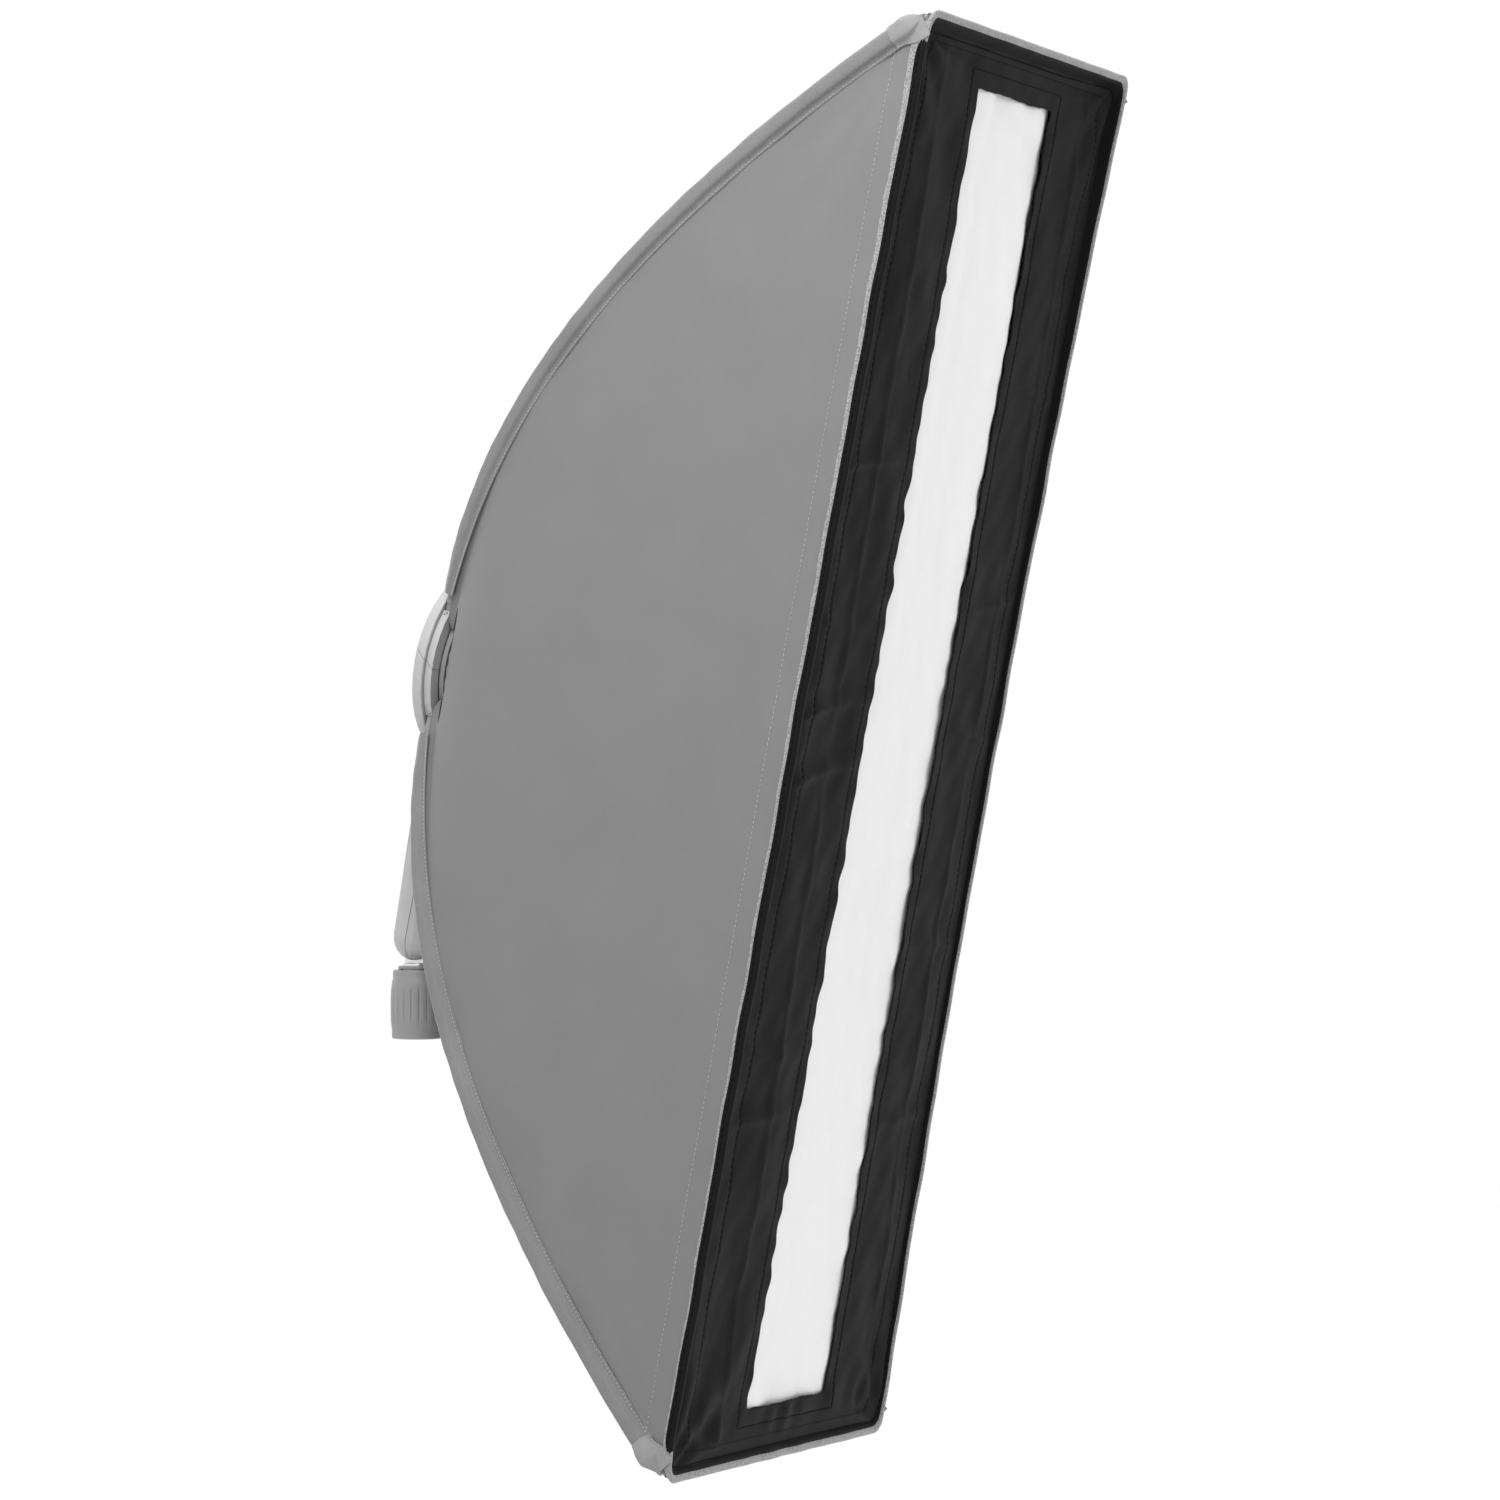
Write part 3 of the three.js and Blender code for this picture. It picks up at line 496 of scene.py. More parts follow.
def stitches(name, lines, paint, size):
    """Rows of thread stitches. Each line is (points, normals): a path on the cloth and the cloth's facing."""
    sides = 5
    turn_about = np.arange(sides) / sides * 2 * math.pi
    all_points, all_faces = [], []
    for points, normals in lines:
        stations, run = resample(points, size["pitch"])
        at = np.stack([np.interp(stations, run, points[:, i]) for i in range(3)], -1)
        up = unit(np.stack([np.interp(stations, run, normals[:, i]) for i in range(3)], -1))
        ahead = np.stack([np.interp(stations + 0.5, run, points[:, i]) for i in range(3)], -1)
        behind = np.stack([np.interp(stations - 0.5, run, points[:, i]) for i in range(3)], -1)
        along = unit(ahead - behind)
        beside = np.cross(along, up)
        for place, u, a, b in zip(at, up, along, beside):
            first = sum(len(p) for p in all_points)
            ring = np.outer(np.cos(turn_about), u) + np.outer(np.sin(turn_about), b)
            half = size["long"] / 2
            body = [place + u * 0.12 + ring * size["radius"] + a * half * 0.55 * k for k in (-1, 1)]
            ends = np.array([place - a * half, place + a * half]) - u * 0.15
            all_points.append(np.concatenate([*body, ends]))
            for i in range(sides):
                j = (i + 1) % sides
                all_faces.append((first + i, first + j, first + sides + j, first + sides + i))
                all_faces.append((first + 2 * sides, first + j, first + i))
                all_faces.append((first + 2 * sides + 1, first + sides + i, first + sides + j))
    points = np.concatenate(all_points)
    mesh = bpy.data.meshes.new(name)
    mesh.from_pydata(to_row(points).tolist(), [], all_faces)
    mesh.materials.append(paint)
    mesh.polygons.foreach_set("use_smooth", np.ones(len(all_faces), bool))
    give_attributes(mesh, points[:, [0, 2]])
    return link(name, mesh)


# ---------------------------------------------------------------- baking the cloth pieces' transforms


def follow_side(piece):
    """Bakes the side cloth's transform into its mesh."""
    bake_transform(piece)


def follow_end(piece):
    """Bakes the end cloth's transform into its mesh."""
    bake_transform(piece)


# ---------------------------------------------------------------- shell panels

LIP_X, LIP_Y, LIP_Z = 149.4, -330.0, 449.6
LIP_DRAFT = (0.186, 0.75)  # how fast the side and end panels close in behind the lip
PANEL_FROM = 0.042
SHELL_LIP_Y = -327.0
SHELL_THICK = 0.5
PANEL_ROWS = 84
EDGE_STEPS = (0, 1.2, 2.4, 3.4, 4.0, 4.6, 5.2, 6.0, 8.0, 11.0)
SEAM_AT = 4.4  # from the panel's edge to the seam beside the sleeve, a groove darkened with painted shade
HEM = 0.8  # radius of the folded lip
REAR_CUT = 0.085  # how much later along the rods the side cloth starts, mid rear edge
GATHER = 4.5  # how far the cloth between two sleeves draws in at the hub
# how the taut cloth draws the long lips in and back between the rods, and how far behind them it reaches
BOW_IN = 5.4
BOW_BACK = 4.7
BOW_REACH = 80.0


def drawn_in(grid):
    """The pull of the taut cloth on the long lips, fading away behind them."""
    x, y, z = grid[..., 0], grid[..., 1], grid[..., 2]
    share = x / LIP_X
    pull = (1 - np.clip(z / LIP_Z, -1, 1) ** 2) * np.exp(-(y - LIP_Y) / BOW_REACH)
    return np.stack([x - BOW_IN * share * pull, y + BOW_BACK * share**2 * pull, z], -1)


def panel_margin(s):
    """From the rod's centreline to the panel's edge: under the sleeve, then out to the lip's corner."""
    return 4.6 - 3.4 * smooth(0.955, 1.02, s)


def panel_grid(kind, sign):
    """Rows run from the hub to the lip, columns across from one rod to the other."""
    lip = share_at_y(SHELL_LIP_Y)
    table = np.linspace(0, 1.1, 400)
    p = rod_points(table)
    off, span, ruling = (p[:, 0], p[:, 2], 2) if kind == "side" else (p[:, 2], p[:, 0], 0)
    run = np.concatenate([[0], np.cumsum(np.hypot(np.diff(off), np.diff(p[:, 1])))])
    slope = unit(np.stack([np.gradient(off, run), np.gradient(p[:, 1], run)], -1))
    crossing = np.sqrt(1 - rod_tangents(table)[:, ruling] ** 2)
    reach_at = span - panel_margin(table) / crossing
    inner = np.linspace(0, 1, 50 if kind == "side" else 22, endpoint=False)
    place = np.concatenate([inner, np.ones(len(EDGE_STEPS))])
    rows = np.linspace(0, 1, PANEL_ROWS)[:, None]
    cut = REAR_CUT * (1 - place**6) if kind == "side" else 0 * place
    s = PANEL_FROM + (lip - PANEL_FROM) * rows + cut * (1 - rows) ** 4
    reach = np.interp(s, table, reach_at)
    inset = np.concatenate([np.zeros(len(inner)), np.array(EDGE_STEPS)[::-1]])
    half = np.where(place < 1, place * (reach - 14), reach - inset)
    across = np.concatenate([-half[:, :0:-1], half], 1)
    s = np.concatenate([s[:, :0:-1], s], 1)
    from_edge = np.interp(s, table, reach_at) - np.abs(across)
    stand, depth, down = (np.interp(s, table, values) for values in (off, p[:, 1], run))
    relief = panel_relief(kind, sign, across, down, from_edge, down[-1, 0])
    stand = stand - np.interp(s, table, slope[:, 1]) * relief
    depth = depth + np.interp(s, table, slope[:, 0]) * relief
    across, stand, depth, down = folded_lip(across, stand, depth, down)
    # painted shade along the seam's groove beside the sleeve
    seam_shade = np.exp(-(((reach_like(from_edge, across) - SEAM_AT) / 0.55) ** 2))
    if kind == "side":
        grid = np.stack([stand * sign, depth, across], -1)
    else:
        grid = np.stack([across, depth, stand * sign], -1)
    grid = drawn_in(grid)
    normals = grid_normals(grid)
    outward = np.zeros(3)
    outward[0 if kind == "side" else 2] = sign
    if normals[4, across.shape[1] // 2] @ outward < 0:
        normals = -normals
    return grid, normals, np.stack([across, down], -1), seam_shade


def reach_like(from_edge, across):
    """from_edge, carried on over the rows that the folded lip adds."""
    added = across.shape[0] - from_edge.shape[0]
    return np.concatenate([from_edge, np.repeat(from_edge[-1:], added, 0)])


def panel_relief(kind, sign, across, down, from_edge, length):
    """Millimetres that the taut cloth stands proud: slack waves, pulls at the pockets, the seam's groove."""
    seed = 11 + (2 if kind == "side" else 0) + (1 if sign > 0 else 0)
    waves = 0.35 * ripple(across, down, 120, seed) * smooth(0, 40, from_edge)
    to_lip = length - down
    reach = np.hypot(from_edge, to_lip)
    angle = np.arctan2(from_edge, to_lip + 1e-6)
    pulls = 0.9 * np.sin(angle * 13 + np.sign(across) * 0.8 + sign) * np.exp(-reach / 75)
    pulls = pulls * smooth(4, 26, reach)
    edge_waves = 0.5 * ripple(across * 0, down, 42, seed + 20) * np.exp(-from_edge / 16)
    lip_waves = 0.35 * ripple(across, down * 0, 60, seed + 40) * np.exp(-to_lip / 14)
    groove = -0.8 * np.exp(-(((from_edge - SEAM_AT) / 0.8) ** 2))
    gathered = -GATHER * np.exp(-((down / 38) ** 2)) * smooth(3, 12, from_edge) * (kind == "side")
    slack = waves + pulls + edge_waves * smooth(4, 8, from_edge)
    return slack * (0.3 + 0.7 * smooth(0, 30, to_lip)) + lip_waves + groove + gathered


def folded_lip(across, stand, depth, down):
    """Turns the front edge over into a hem that runs a little way back inside."""
    lead = np.stack([stand[-1] - stand[-2], depth[-1] - depth[-2]], -1)
    lead = unit(lead)
    into = np.stack([lead[:, 1], -lead[:, 0]], -1)
    centre = np.stack([stand[-1], depth[-1]], -1) + into * HEM
    rows = []
    for angle in np.radians((30, 60, 90, 120, 150, 180)):
        rows.append(centre - into * HEM * math.cos(angle) + lead * HEM * math.sin(angle))
    edge = np.stack([stand[-1], depth[-1]], -1) + into * HEM * 2
    behind = np.stack([stand[-2], depth[-2]], -1) + into * HEM * 2
    for share in (0.35, 0.7, 1.0):
        rows.append(edge * (1 - share) + behind * share)
    added = np.array(rows)
    runs = down[-1] + np.cumsum([0.42] * 6 + [2.0, 2.0, 2.0])[:, None]
    across = np.concatenate([across, np.repeat(across[-1:], len(rows), 0)])
    stand = np.concatenate([stand, added[:, :, 0]])
    depth = np.concatenate([depth, added[:, :, 1]])
    return across, stand, depth, np.concatenate([down, runs])


def make_panel(kind, sign, paints):
    grid, normals, cloth, seam_shade = panel_grid(kind, sign)
    middle = grid.shape[1] // 2
    for half in (-1, 1):
        part = slice(0, middle + 1) if half < 0 else slice(middle, None)
        corner = corner_name(sign, half) if kind == "side" else corner_name(half, sign)
        name = f"{kind}_panel_{corner}"
        both = (paints["shell"], paints["silver"])
        piece = cloth_piece(name, grid[:, part], normals[:, part], SHELL_THICK, both, cloth[:, part],
                            seam_shade[:, part])
        lip_row = PANEL_ROWS - 4
        line = [(grid[lip_row, part], normals[lip_row, part])]
        thread = stitches(f"{name}_stitches", line, paints["grey_thread"], PANEL_STITCH)
        declare_cut(grid[:, part], cloth[:, part])
        if kind == "side":
            node = "shell_panel_left" if sign < 0 else "shell_panel_right"
            follow_side(piece)
            follow_side(thread)
        else:
            node = f"shell_panel_{LEAF[corner]}"
            follow_end(piece)
            follow_end(thread)
        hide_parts(node)


def corner_name(sx, sz):
    return next(name for name, signs in CORNERS.items() if signs == (sx, sz))


# ---------------------------------------------------------------- rod sleeves, rods and corner pockets

SLEEVE_FROM = 0.034
SLEEVE_TO = 0.984
POCKET_FROM = 0.977
POCKET_TO = 1.012
POCKET_COLUMNS = 45


def spline(controls, count):
    """count points on a smooth curve through controls, which may hold a row of curves."""
    n = len(controls) - 1
    t = np.linspace(0, n, count)
    i = np.minimum(t.astype(int), n - 1)
    f = (t - i).reshape(-1, *([1] * (controls.ndim - 1)))
    before, after = np.maximum(i - 1, 0), np.minimum(i + 2, n)
    a, b, c, d = controls[before], controls[i], controls[i + 1], controls[after]
    return 0.5 * (2 * b + (c - a) * f + (2 * a - 5 * b + 4 * c - d) * f**2 + (3 * b - a - 3 * c + d) * f**3)


def wrap_grid(s, corner, radius, side_reach, end_reach, lift, count=31):
    """Cloth wrapped over the rod like an omega. Its two tails lie on the side and the end panel."""
    signs = CORNERS[corner]
    centre = rod_points(s, signs)
    tangent = rod_tangents(s, signs)

    def in_panel(direction):
        flat = direction - tangent * (tangent @ direction)[:, None]
        return unit(flat)

    side = in_panel(np.array([0.0, 0.0, -signs[1]]))
    end = in_panel(np.array([-signs[0], 0.0, 0.0]))
    out = unit(-(side + end))
    side_out = unit(out - side * np.sum(out * side, -1)[:, None])
    end_out = unit(out - end * np.sum(out * end, -1)[:, None])
    r, a, b, h = (np.broadcast_to(v, s.shape)[:, None] for v in (radius, side_reach, end_reach, lift))
    controls = np.array([
        centre + side * a + side_out * h,
        centre + side * (a * 0.55 + r * 0.45) + side_out * (h + 0.1),
        centre + side * r * 1.05 + side_out * (h + 0.9),
        centre + side * r * 0.72 + side_out * r * 0.78,
        centre + unit(side_out * 1.2 + out) * r,
        centre + out * r * 1.02,
        centre + unit(end_out * 1.2 + out) * r,
        centre + end * r * 0.72 + end_out * r * 0.78,
        centre + end * r * 1.05 + end_out * (h + 0.9),
        centre + end * (b * 0.55 + r * 0.45) + end_out * (h + 0.1),
        centre + end * b + end_out * h,
    ])
    grid = np.swapaxes(spline(controls, count), 0, 1)
    normals = grid_normals(grid)
    if normals[len(s) // 2, count // 2] @ out[len(s) // 2] < 0:
        normals = -normals
    return grid, normals


def cloth_coordinates(grid):
    along = np.cumsum(np.linalg.norm(np.diff(grid, axis=0, prepend=grid[:1]), axis=2), 0)
    across = np.cumsum(np.linalg.norm(np.diff(grid, axis=1, prepend=grid[:, :1]), axis=2), 1)
    return np.stack([across, along], -1)


def tube_piece(name, points, radius, paint, sides=16):
    """A round rod along a path, with flat ends."""
    tangent = unit(np.gradient(points, axis=0))
    beside = unit(np.cross(tangent, [0.0, 1.0, 0.3]))
    above = np.cross(tangent, beside)
    angle = np.arange(sides) / sides * 2 * math.pi
    cos, sin = (wave(angle)[None, :, None] for wave in (np.cos, np.sin))
    ring = cos * beside[:, None] + sin * above[:, None]
    verts = (points[:, None] + ring * radius).reshape(-1, 3)
    count = len(points)
    faces = [tuple(range(sides))[::-1], tuple(range((count - 1) * sides, count * sides))]
    for i in range(count - 1):
        for j in range(sides):
            k = (j + 1) % sides
            faces.append((i * sides + j, i * sides + k, (i + 1) * sides + k, (i + 1) * sides + j))
    mesh = bpy.data.meshes.new(name)
    mesh.from_pydata(to_row(verts).tolist(), [], faces)
    bm = bmesh.new()
    bm.from_mesh(mesh)
    bmesh.ops.recalc_face_normals(bm, faces=bm.faces)
    bm.to_mesh(mesh)
    bm.free()
    mesh.materials.append(paint)
    mesh.polygons.foreach_set("use_smooth", np.array([False, False] + [True] * (len(faces) - 2)))
    return link(name, mesh)


def make_sleeve(corner, paints):
    s = np.linspace(SLEEVE_FROM, SLEEVE_TO, 150)
    wobble = 0.18 * ripple(s * 0, s * 560, 36, 5)
    grid, normals = wrap_grid(s, corner, 5.4 + wobble, 8.7, 8.7, 0.55)
    cloth = cloth_coordinates(grid)
    piece = cloth_piece(f"sleeve_{corner}", grid, normals, 0.9, (paints["webbing"],), cloth)
    lines = [(grid[:, column], normals[:, column]) for column in (2, grid.shape[1] - 3)]
    thread = stitches(f"sleeve_{corner}_stitches", lines, paints["grey_thread"], SLEEVE_STITCH)
    rod_s = np.linspace(0.031, 0.965, 90)
    rod = tube_piece(f"frame_rod_{corner}", rod_points(rod_s, CORNERS[corner]), ROD_RADIUS, paints["rod"])
    for made, slot in ((piece, "sleeve_webbing"), (thread, "sleeve_webbing"), (rod, "rod_steel")):
        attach(made, f"frame_{corner}")
    declare_cut(grid, cloth)
    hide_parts(f"rod_sleeve_{corner}")
    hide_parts(f"rod_{corner}")


def make_pocket(corner, paints):
    """The reinforced pocket that holds the rod's end: a hood over the tip with two tails on the panels."""
    s = np.linspace(POCKET_FROM, POCKET_TO, 26)
    t = (s - POCKET_FROM) / (POCKET_TO - POCKET_FROM)
    radius = 6.1 + 0.9 * np.sin(math.pi * np.clip(t * 1.25, 0, 1)) - 4.2 * smooth(0.55, 1.0, t)
    seed = 60 + list(CORNERS).index(corner)
    radius = radius + 0.25 * ripple(s * 0, t * 30, 16, seed)
    reach = 8.8 + 4.0 * smooth(0.1, 0.7, t)
    grid, normals = wrap_grid(s, corner, radius, reach, reach * 0.8, 1.15, POCKET_COLUMNS)
    columns = np.arange(POCKET_COLUMNS)
    crumple = 0.3 * ripple(columns[None, :] * 1.3, t[:, None] * 30, 13, seed + 10)
    from_edge = np.minimum(columns, columns[::-1])
    grid = grid + normals * (crumple * smooth(0, 6, from_edge)[None, :])[..., None]
    name = f"pocket_{corner}"
    cloth = cloth_coordinates(grid)
    piece = cloth_piece(name, grid, normals, 0.8, (paints["patch"],), cloth)
    lines = [(grid[:-2, column], normals[:-2, column]) for column in (2, POCKET_COLUMNS - 3)]
    lines += [(grid[2, part], normals[2, part]) for part in (slice(1, 10), slice(-10, -1))]
    thread = stitches(f"{name}_stitches", lines, paints["grey_thread"], POCKET_STITCH)
    for made in (piece, thread):
        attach(made, f"frame_{corner}")
    declare_cut(grid, cloth)


# ---------------------------------------------------------------- rings of cloth round the front

SIDE_STEPS, ARC_STEPS, END_STEPS = 140, 8, 44
QUARTER = SIDE_STEPS + ARC_STEPS + END_STEPS
CORNER_AT = SIDE_STEPS + ARC_STEPS // 2


def quarter_loop(half_x, half_z, radius):
    """A quarter of a rounded rectangle, from the middle of its right side to the middle of its top."""
    radius = max(radius, 0.3)
    up = np.linspace(0, half_z - radius, SIDE_STEPS + 1)[:-1]
    turn_by = np.linspace(0, math.pi / 2, ARC_STEPS + 1)[:-1]
    left = np.linspace(half_x - radius, 0, END_STEPS + 1)
    side = np.stack([np.full(len(up), half_x), up], -1)
    middle = np.array([half_x - radius, half_z - radius])
    arc = middle + radius * np.stack([np.cos(turn_by), np.sin(turn_by)], -1)
    end = np.stack([left, np.full(len(left), half_z)], -1)
    return np.concatenate([side, arc, end])


def full_loop(half_x, half_z, radius):
    q = quarter_loop(half_x, half_z, radius)
    back = q[:0:-1]
    return np.concatenate([q[:-1], back * [-1, 1], q[:-1] * [-1, -1], back * [1, -1]])


RING_PARTS = (
    ("side", "upper_right", 0, CORNER_AT),
    ("end", "upper_right", CORNER_AT, QUARTER),
    ("end", "upper_left", QUARTER, 2 * QUARTER - CORNER_AT),
    ("side", "upper_left", 2 * QUARTER - CORNER_AT, 2 * QUARTER),
    ("side", "lower_left", 2 * QUARTER, 2 * QUARTER + CORNER_AT),
    ("end", "lower_left", 2 * QUARTER + CORNER_AT, 3 * QUARTER),
    ("end", "lower_right", 3 * QUARTER, 4 * QUARTER - CORNER_AT),
    ("side", "lower_right", 4 * QUARTER - CORNER_AT, 4 * QUARTER),
)


def recess(x, z):
    """How far back the mask lies: deeper at the top, shallower along the right side."""
    return -327.2 + 5.6 * (z + 450) / 900 - 2.4 * smooth(60, 140, x)


def recess_at_lip():
    edge = lip_row(0, 0)
    return np.maximum(recess(edge[:, 0], edge[:, 2]) - LIP_Y, 2.6)


# the mask's main lines: half width, half height, corner radius
HEM_LINE = (127.5, 434.0, 2.0)
FRAME_LINE = (65.5, 426.0, 1.2)
SLIT_LINE = (54.6, 414.5, 1.5)
SLIT_SHIFT = 3.5  # the slit sits a little to the right of the middle
BINDING = 5.8  # how far the mask's edge wraps back over the outside of the lip
LIP_CORNER = 9.0


def lip_row(back, proud):
    """A line round the lip, back from its front edge and proud of the shell's outer face."""
    loop = full_loop(LIP_X, LIP_Z, LIP_CORNER)
    back = np.broadcast_to(back, len(loop))
    x = loop[:, 0] * (1 + (proud - LIP_DRAFT[0] * back) / LIP_X)
    z = loop[:, 1] * (1 + (proud * 1.25 - LIP_DRAFT[1] * back) / LIP_Z)
    return np.stack([x, LIP_Y + back + 0.4 * ripple(loop[:, 0], loop[:, 1], 48, 31), z], -1)


def lip_wrap(outside, inside, front, count=9):
    """Rows that carry a strip round the front edge, from its outside face to its inside face."""
    rows = []
    for angle in np.linspace(0, math.pi, count + 2)[1:-1]:
        share = (1 - math.cos(angle)) / 2
        rows.append(lip_row(front + 1.4 * (1 - math.sin(angle)), outside + (inside - outside) * share))
    return rows


def binding_share():
    """1 where the mask's edge is folded over the outside of the lip, 0 where it is tucked inside."""
    loop = full_loop(LIP_X, LIP_Z, LIP_CORNER)
    return smooth(0.9, 0.99, -loop[:, 0] / LIP_X) * smooth(2, 26, LIP_Z - np.abs(loop[:, 1]))


def shifted(line):
    return line + np.array([SLIT_SHIFT, 0.0])


def mask_stations():
    """Rows of the mask: forward along its binding, round the lip, down the flange, then in to the slit."""
    wrap = binding_share()
    on_right = full_loop(LIP_X, LIP_Z, LIP_CORNER)[:, 0] > 0
    proud = 1.2 * wrap - (1 - wrap) * np.where(on_right, 2.0, 1.0)
    tucked = 1.4 + 0.9 * (1 - wrap)
    rows = [lip_row(tucked + (BINDING - 1.4) * wrap, proud - 0.7)]
    rows += [lip_row(tucked + (BINDING - 1.4) * wrap * (1 - share) - 0.3 * share, proud)
             for share in (0.06, 0.2, 0.35, 0.5, 0.65, 0.82)]
    rows += lip_wrap(proud, -3.6, 0.6 * (1 - wrap))
    behind = recess_at_lip()
    for share in (0.3, 0.5, 0.7, 0.86):
        rows.append(lip_row(2.0 + (behind - 2.0) * share, -3.6))
    marks = {"binding": 4, "fold": len(rows)}
    fold = lip_row(behind, -3.9)
    rows.append(fold)
    inner_lines = [shifted(full_loop(*line)) for line in (FRAME_LINE, SLIT_LINE)]
    lines = [fold[:, [0, 2]], full_loop(*HEM_LINE), *inner_lines]
    shares = (
        (0.08, 0.2, 0.4, 0.6, 0.8, 0.93, 1.0),
        (0.02, 0.04, *np.linspace(0.09, 0.91, 18), 0.97, 0.985, 1.0),
        (0.12, 0.3, 0.5, 0.7, 0.86, 0.95, 1.0),
    )
    for i, steps in enumerate(shares):
        for share in steps:
            place = lines[i] * (1 - share) + lines[i + 1] * share
            rows.append(np.stack([place[:, 0], np.maximum(recess(*place.T), LIP_Y + 2.6), place[:, 1]], -1))
        marks[("hem", "frame", "slit")[i]] = len(rows) - 1
    return np.array(rows), marks


def edge_distance(x, z, half_x, half_z):
    """Signed distance outwards from a rectangle."""
    dx, dz = np.abs(x) - half_x, np.abs(z) - half_z
    outside = np.hypot(np.maximum(dx, 0), np.maximum(dz, 0))
    return outside + np.minimum(np.maximum(dx, dz), 0)


# packing creases across the mask: height, side, depth, how far each bends at its outer end
CREASES = (
    (182, -1, 1.5, 10), (75, -1, 1.0, -8), (32, -1, 1.8, 14), (-8, -1, 2.2, 16), (-192, -1, 1.2, -12),
    (-225, -1, 1.4, 8), (240, 1, 1.2, 6), (96, 1, 1.6, -9), (18, 1, 1.0, 12), (-120, 1, 1.3, 8),
    (-240, 1, 1.4, -6),
)


def mask_relief(x, z):
    """Forward relief of the mask's cloth in millimetres."""
    from_slit = np.maximum(edge_distance(x - SLIT_SHIFT, z, *SLIT_LINE[:2]), 0)
    to_fold = np.maximum(-edge_distance(x, z, 145.0, 441.0), 0)
    free = smooth(0, 14, to_fold)
    broad = 0.8 * ripple(x, z, 95, 3, stretch=1.6) * smooth(0, 30, from_slit) * free
    fine = 0.35 * ripple(x, z, 26, 4) * free
    total = broad + fine
    for height, side, depth, bend in CREASES:
        out = np.clip((np.abs(x) - 53.5) / 93.0, 0, 1)
        line = height - bend * out**2
        t = (z - line) / 7.0
        shape = np.where(t > 0, np.exp(-t), np.exp(t * 3.0)) - 0.4 * np.exp(-((t - 1.5) ** 2))
        total = total + depth * 1.15 * shape * smooth(-0.02, 0.5, out) * (np.sign(x) == side) * free
    for cx, cz, weight in ((-146, 446, 1.0), (146, 446, 1.2), (-146, -446, 1.3), (146, -446, 1.0)):
        dx, dz = x - cx, z - cz
        far = np.hypot(dx, dz)
        angle = np.arctan2(np.abs(dz), np.abs(dx) + 1e-6)
        rays = np.sin(angle * 11 + cx * 0.02 + cz * 0.01)
        total = total + weight * 1.6 * rays * np.exp(-far / 85) * smooth(4, 34, far) * smooth(0, 8, from_slit)
    long_creases = np.exp(-(((x - 112 - 4 * np.sin(z / 90)) / 2.2) ** 2))
    long_creases = long_creases + np.exp(-(((x + 96 + z * 0.02) / 2.6) ** 2))
    total = total + 0.8 * long_creases * smooth(-30, 60, np.abs(z)) * free
    puckers = 0.7 * np.sin(x / 4.6 + 2 * np.sin(x / 19)) * np.exp(-((z + 421) / 11) ** 2)
    puckers = puckers * smooth(0, 3, from_slit)
    scallops = 0.45 * ripple(x * 0.3, z, 24, 8) * np.exp(-from_slit / 6)
    return total + puckers + scallops


def slit_waver(place, strength):
    """Moves the slit's edge in and out, since the cut cloth ripples along its stitching."""
    x, z = place[:, 0] - SLIT_SHIFT, place[:, 2]
    half_x, half_z, _ = SLIT_LINE
    along_side = np.abs(x) * half_z > np.abs(z) * half_x
    shift = 0.8 * ripple(z, x * 0, 22, 21) + 0.5 * ripple(z, x * 0, 10, 22)
    shift_end = 0.5 * ripple(x, z * 0, 22, 23) + 0.3 * ripple(x, z * 0, 8, 24)
    move_x = np.where(along_side, np.sign(x) * shift * smooth(0, 16, half_z - np.abs(z)), 0)
    move_z = np.where(along_side, 0, np.sign(z) * shift_end * smooth(0, 8, half_x - np.abs(x)))
    return place + np.stack([move_x, move_x * 0, move_z], -1) * strength


def mask_grid():
    grid, marks = mask_stations()
    for row in range(marks["frame"], marks["slit"] + 1):
        grid[row] = slit_waver(grid[row], (row - marks["frame"]) / (marks["slit"] - marks["frame"]))
    flat = grid[marks["fold"]:]
    flat[..., 1] -= mask_relief(flat[..., 0], flat[..., 2])
    for line in ("hem", "frame", "slit"):
        grid[marks[line], :, 1] += 0.5
    return drawn_in(grid), marks


def ring_part(array, first, last):
    return np.take(array, np.arange(first, last + 1) % array.shape[1], axis=1)


def make_ring(name, grid, thickness, paint, node, facing, seam_shade=None, threads_on=(),
              thread_paint=None):
    """Cuts a closed ring of cloth into a side and an end part for each rod, and bakes their transforms."""
    normals = grid_normals(grid, closed_columns=True)
    probe_row, probe_column, direction = facing
    if normals[probe_row, probe_column] @ np.array(direction, float) < 0:
        normals = -normals
    cloth = ring_cloth(grid)
    for kind, corner, first, last in RING_PARTS:
        part = ring_part(grid, first, last)
        part_normals = ring_part(normals, first, last)
        part_seam_shade = None if seam_shade is None else ring_part(seam_shade, first, last)
        title = f"{name}_{kind}_{corner}"
        part_cloth = ring_part(cloth, first, last)
        piece = cloth_piece(title, part, part_normals, thickness, (paint,), part_cloth, part_seam_shade)
        pieces = [piece]
        if threads_on:
            lines = [(part[row], part_normals[row]) for row in threads_on]
            pieces.append(stitches(f"{title}_stitches", lines, thread_paint, MASK_STITCH))
        for made in pieces:
            if kind == "side":
                follow_side(made)
            else:
                follow_end(made)
        declare_cut(part, part_cloth)
        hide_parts(node)


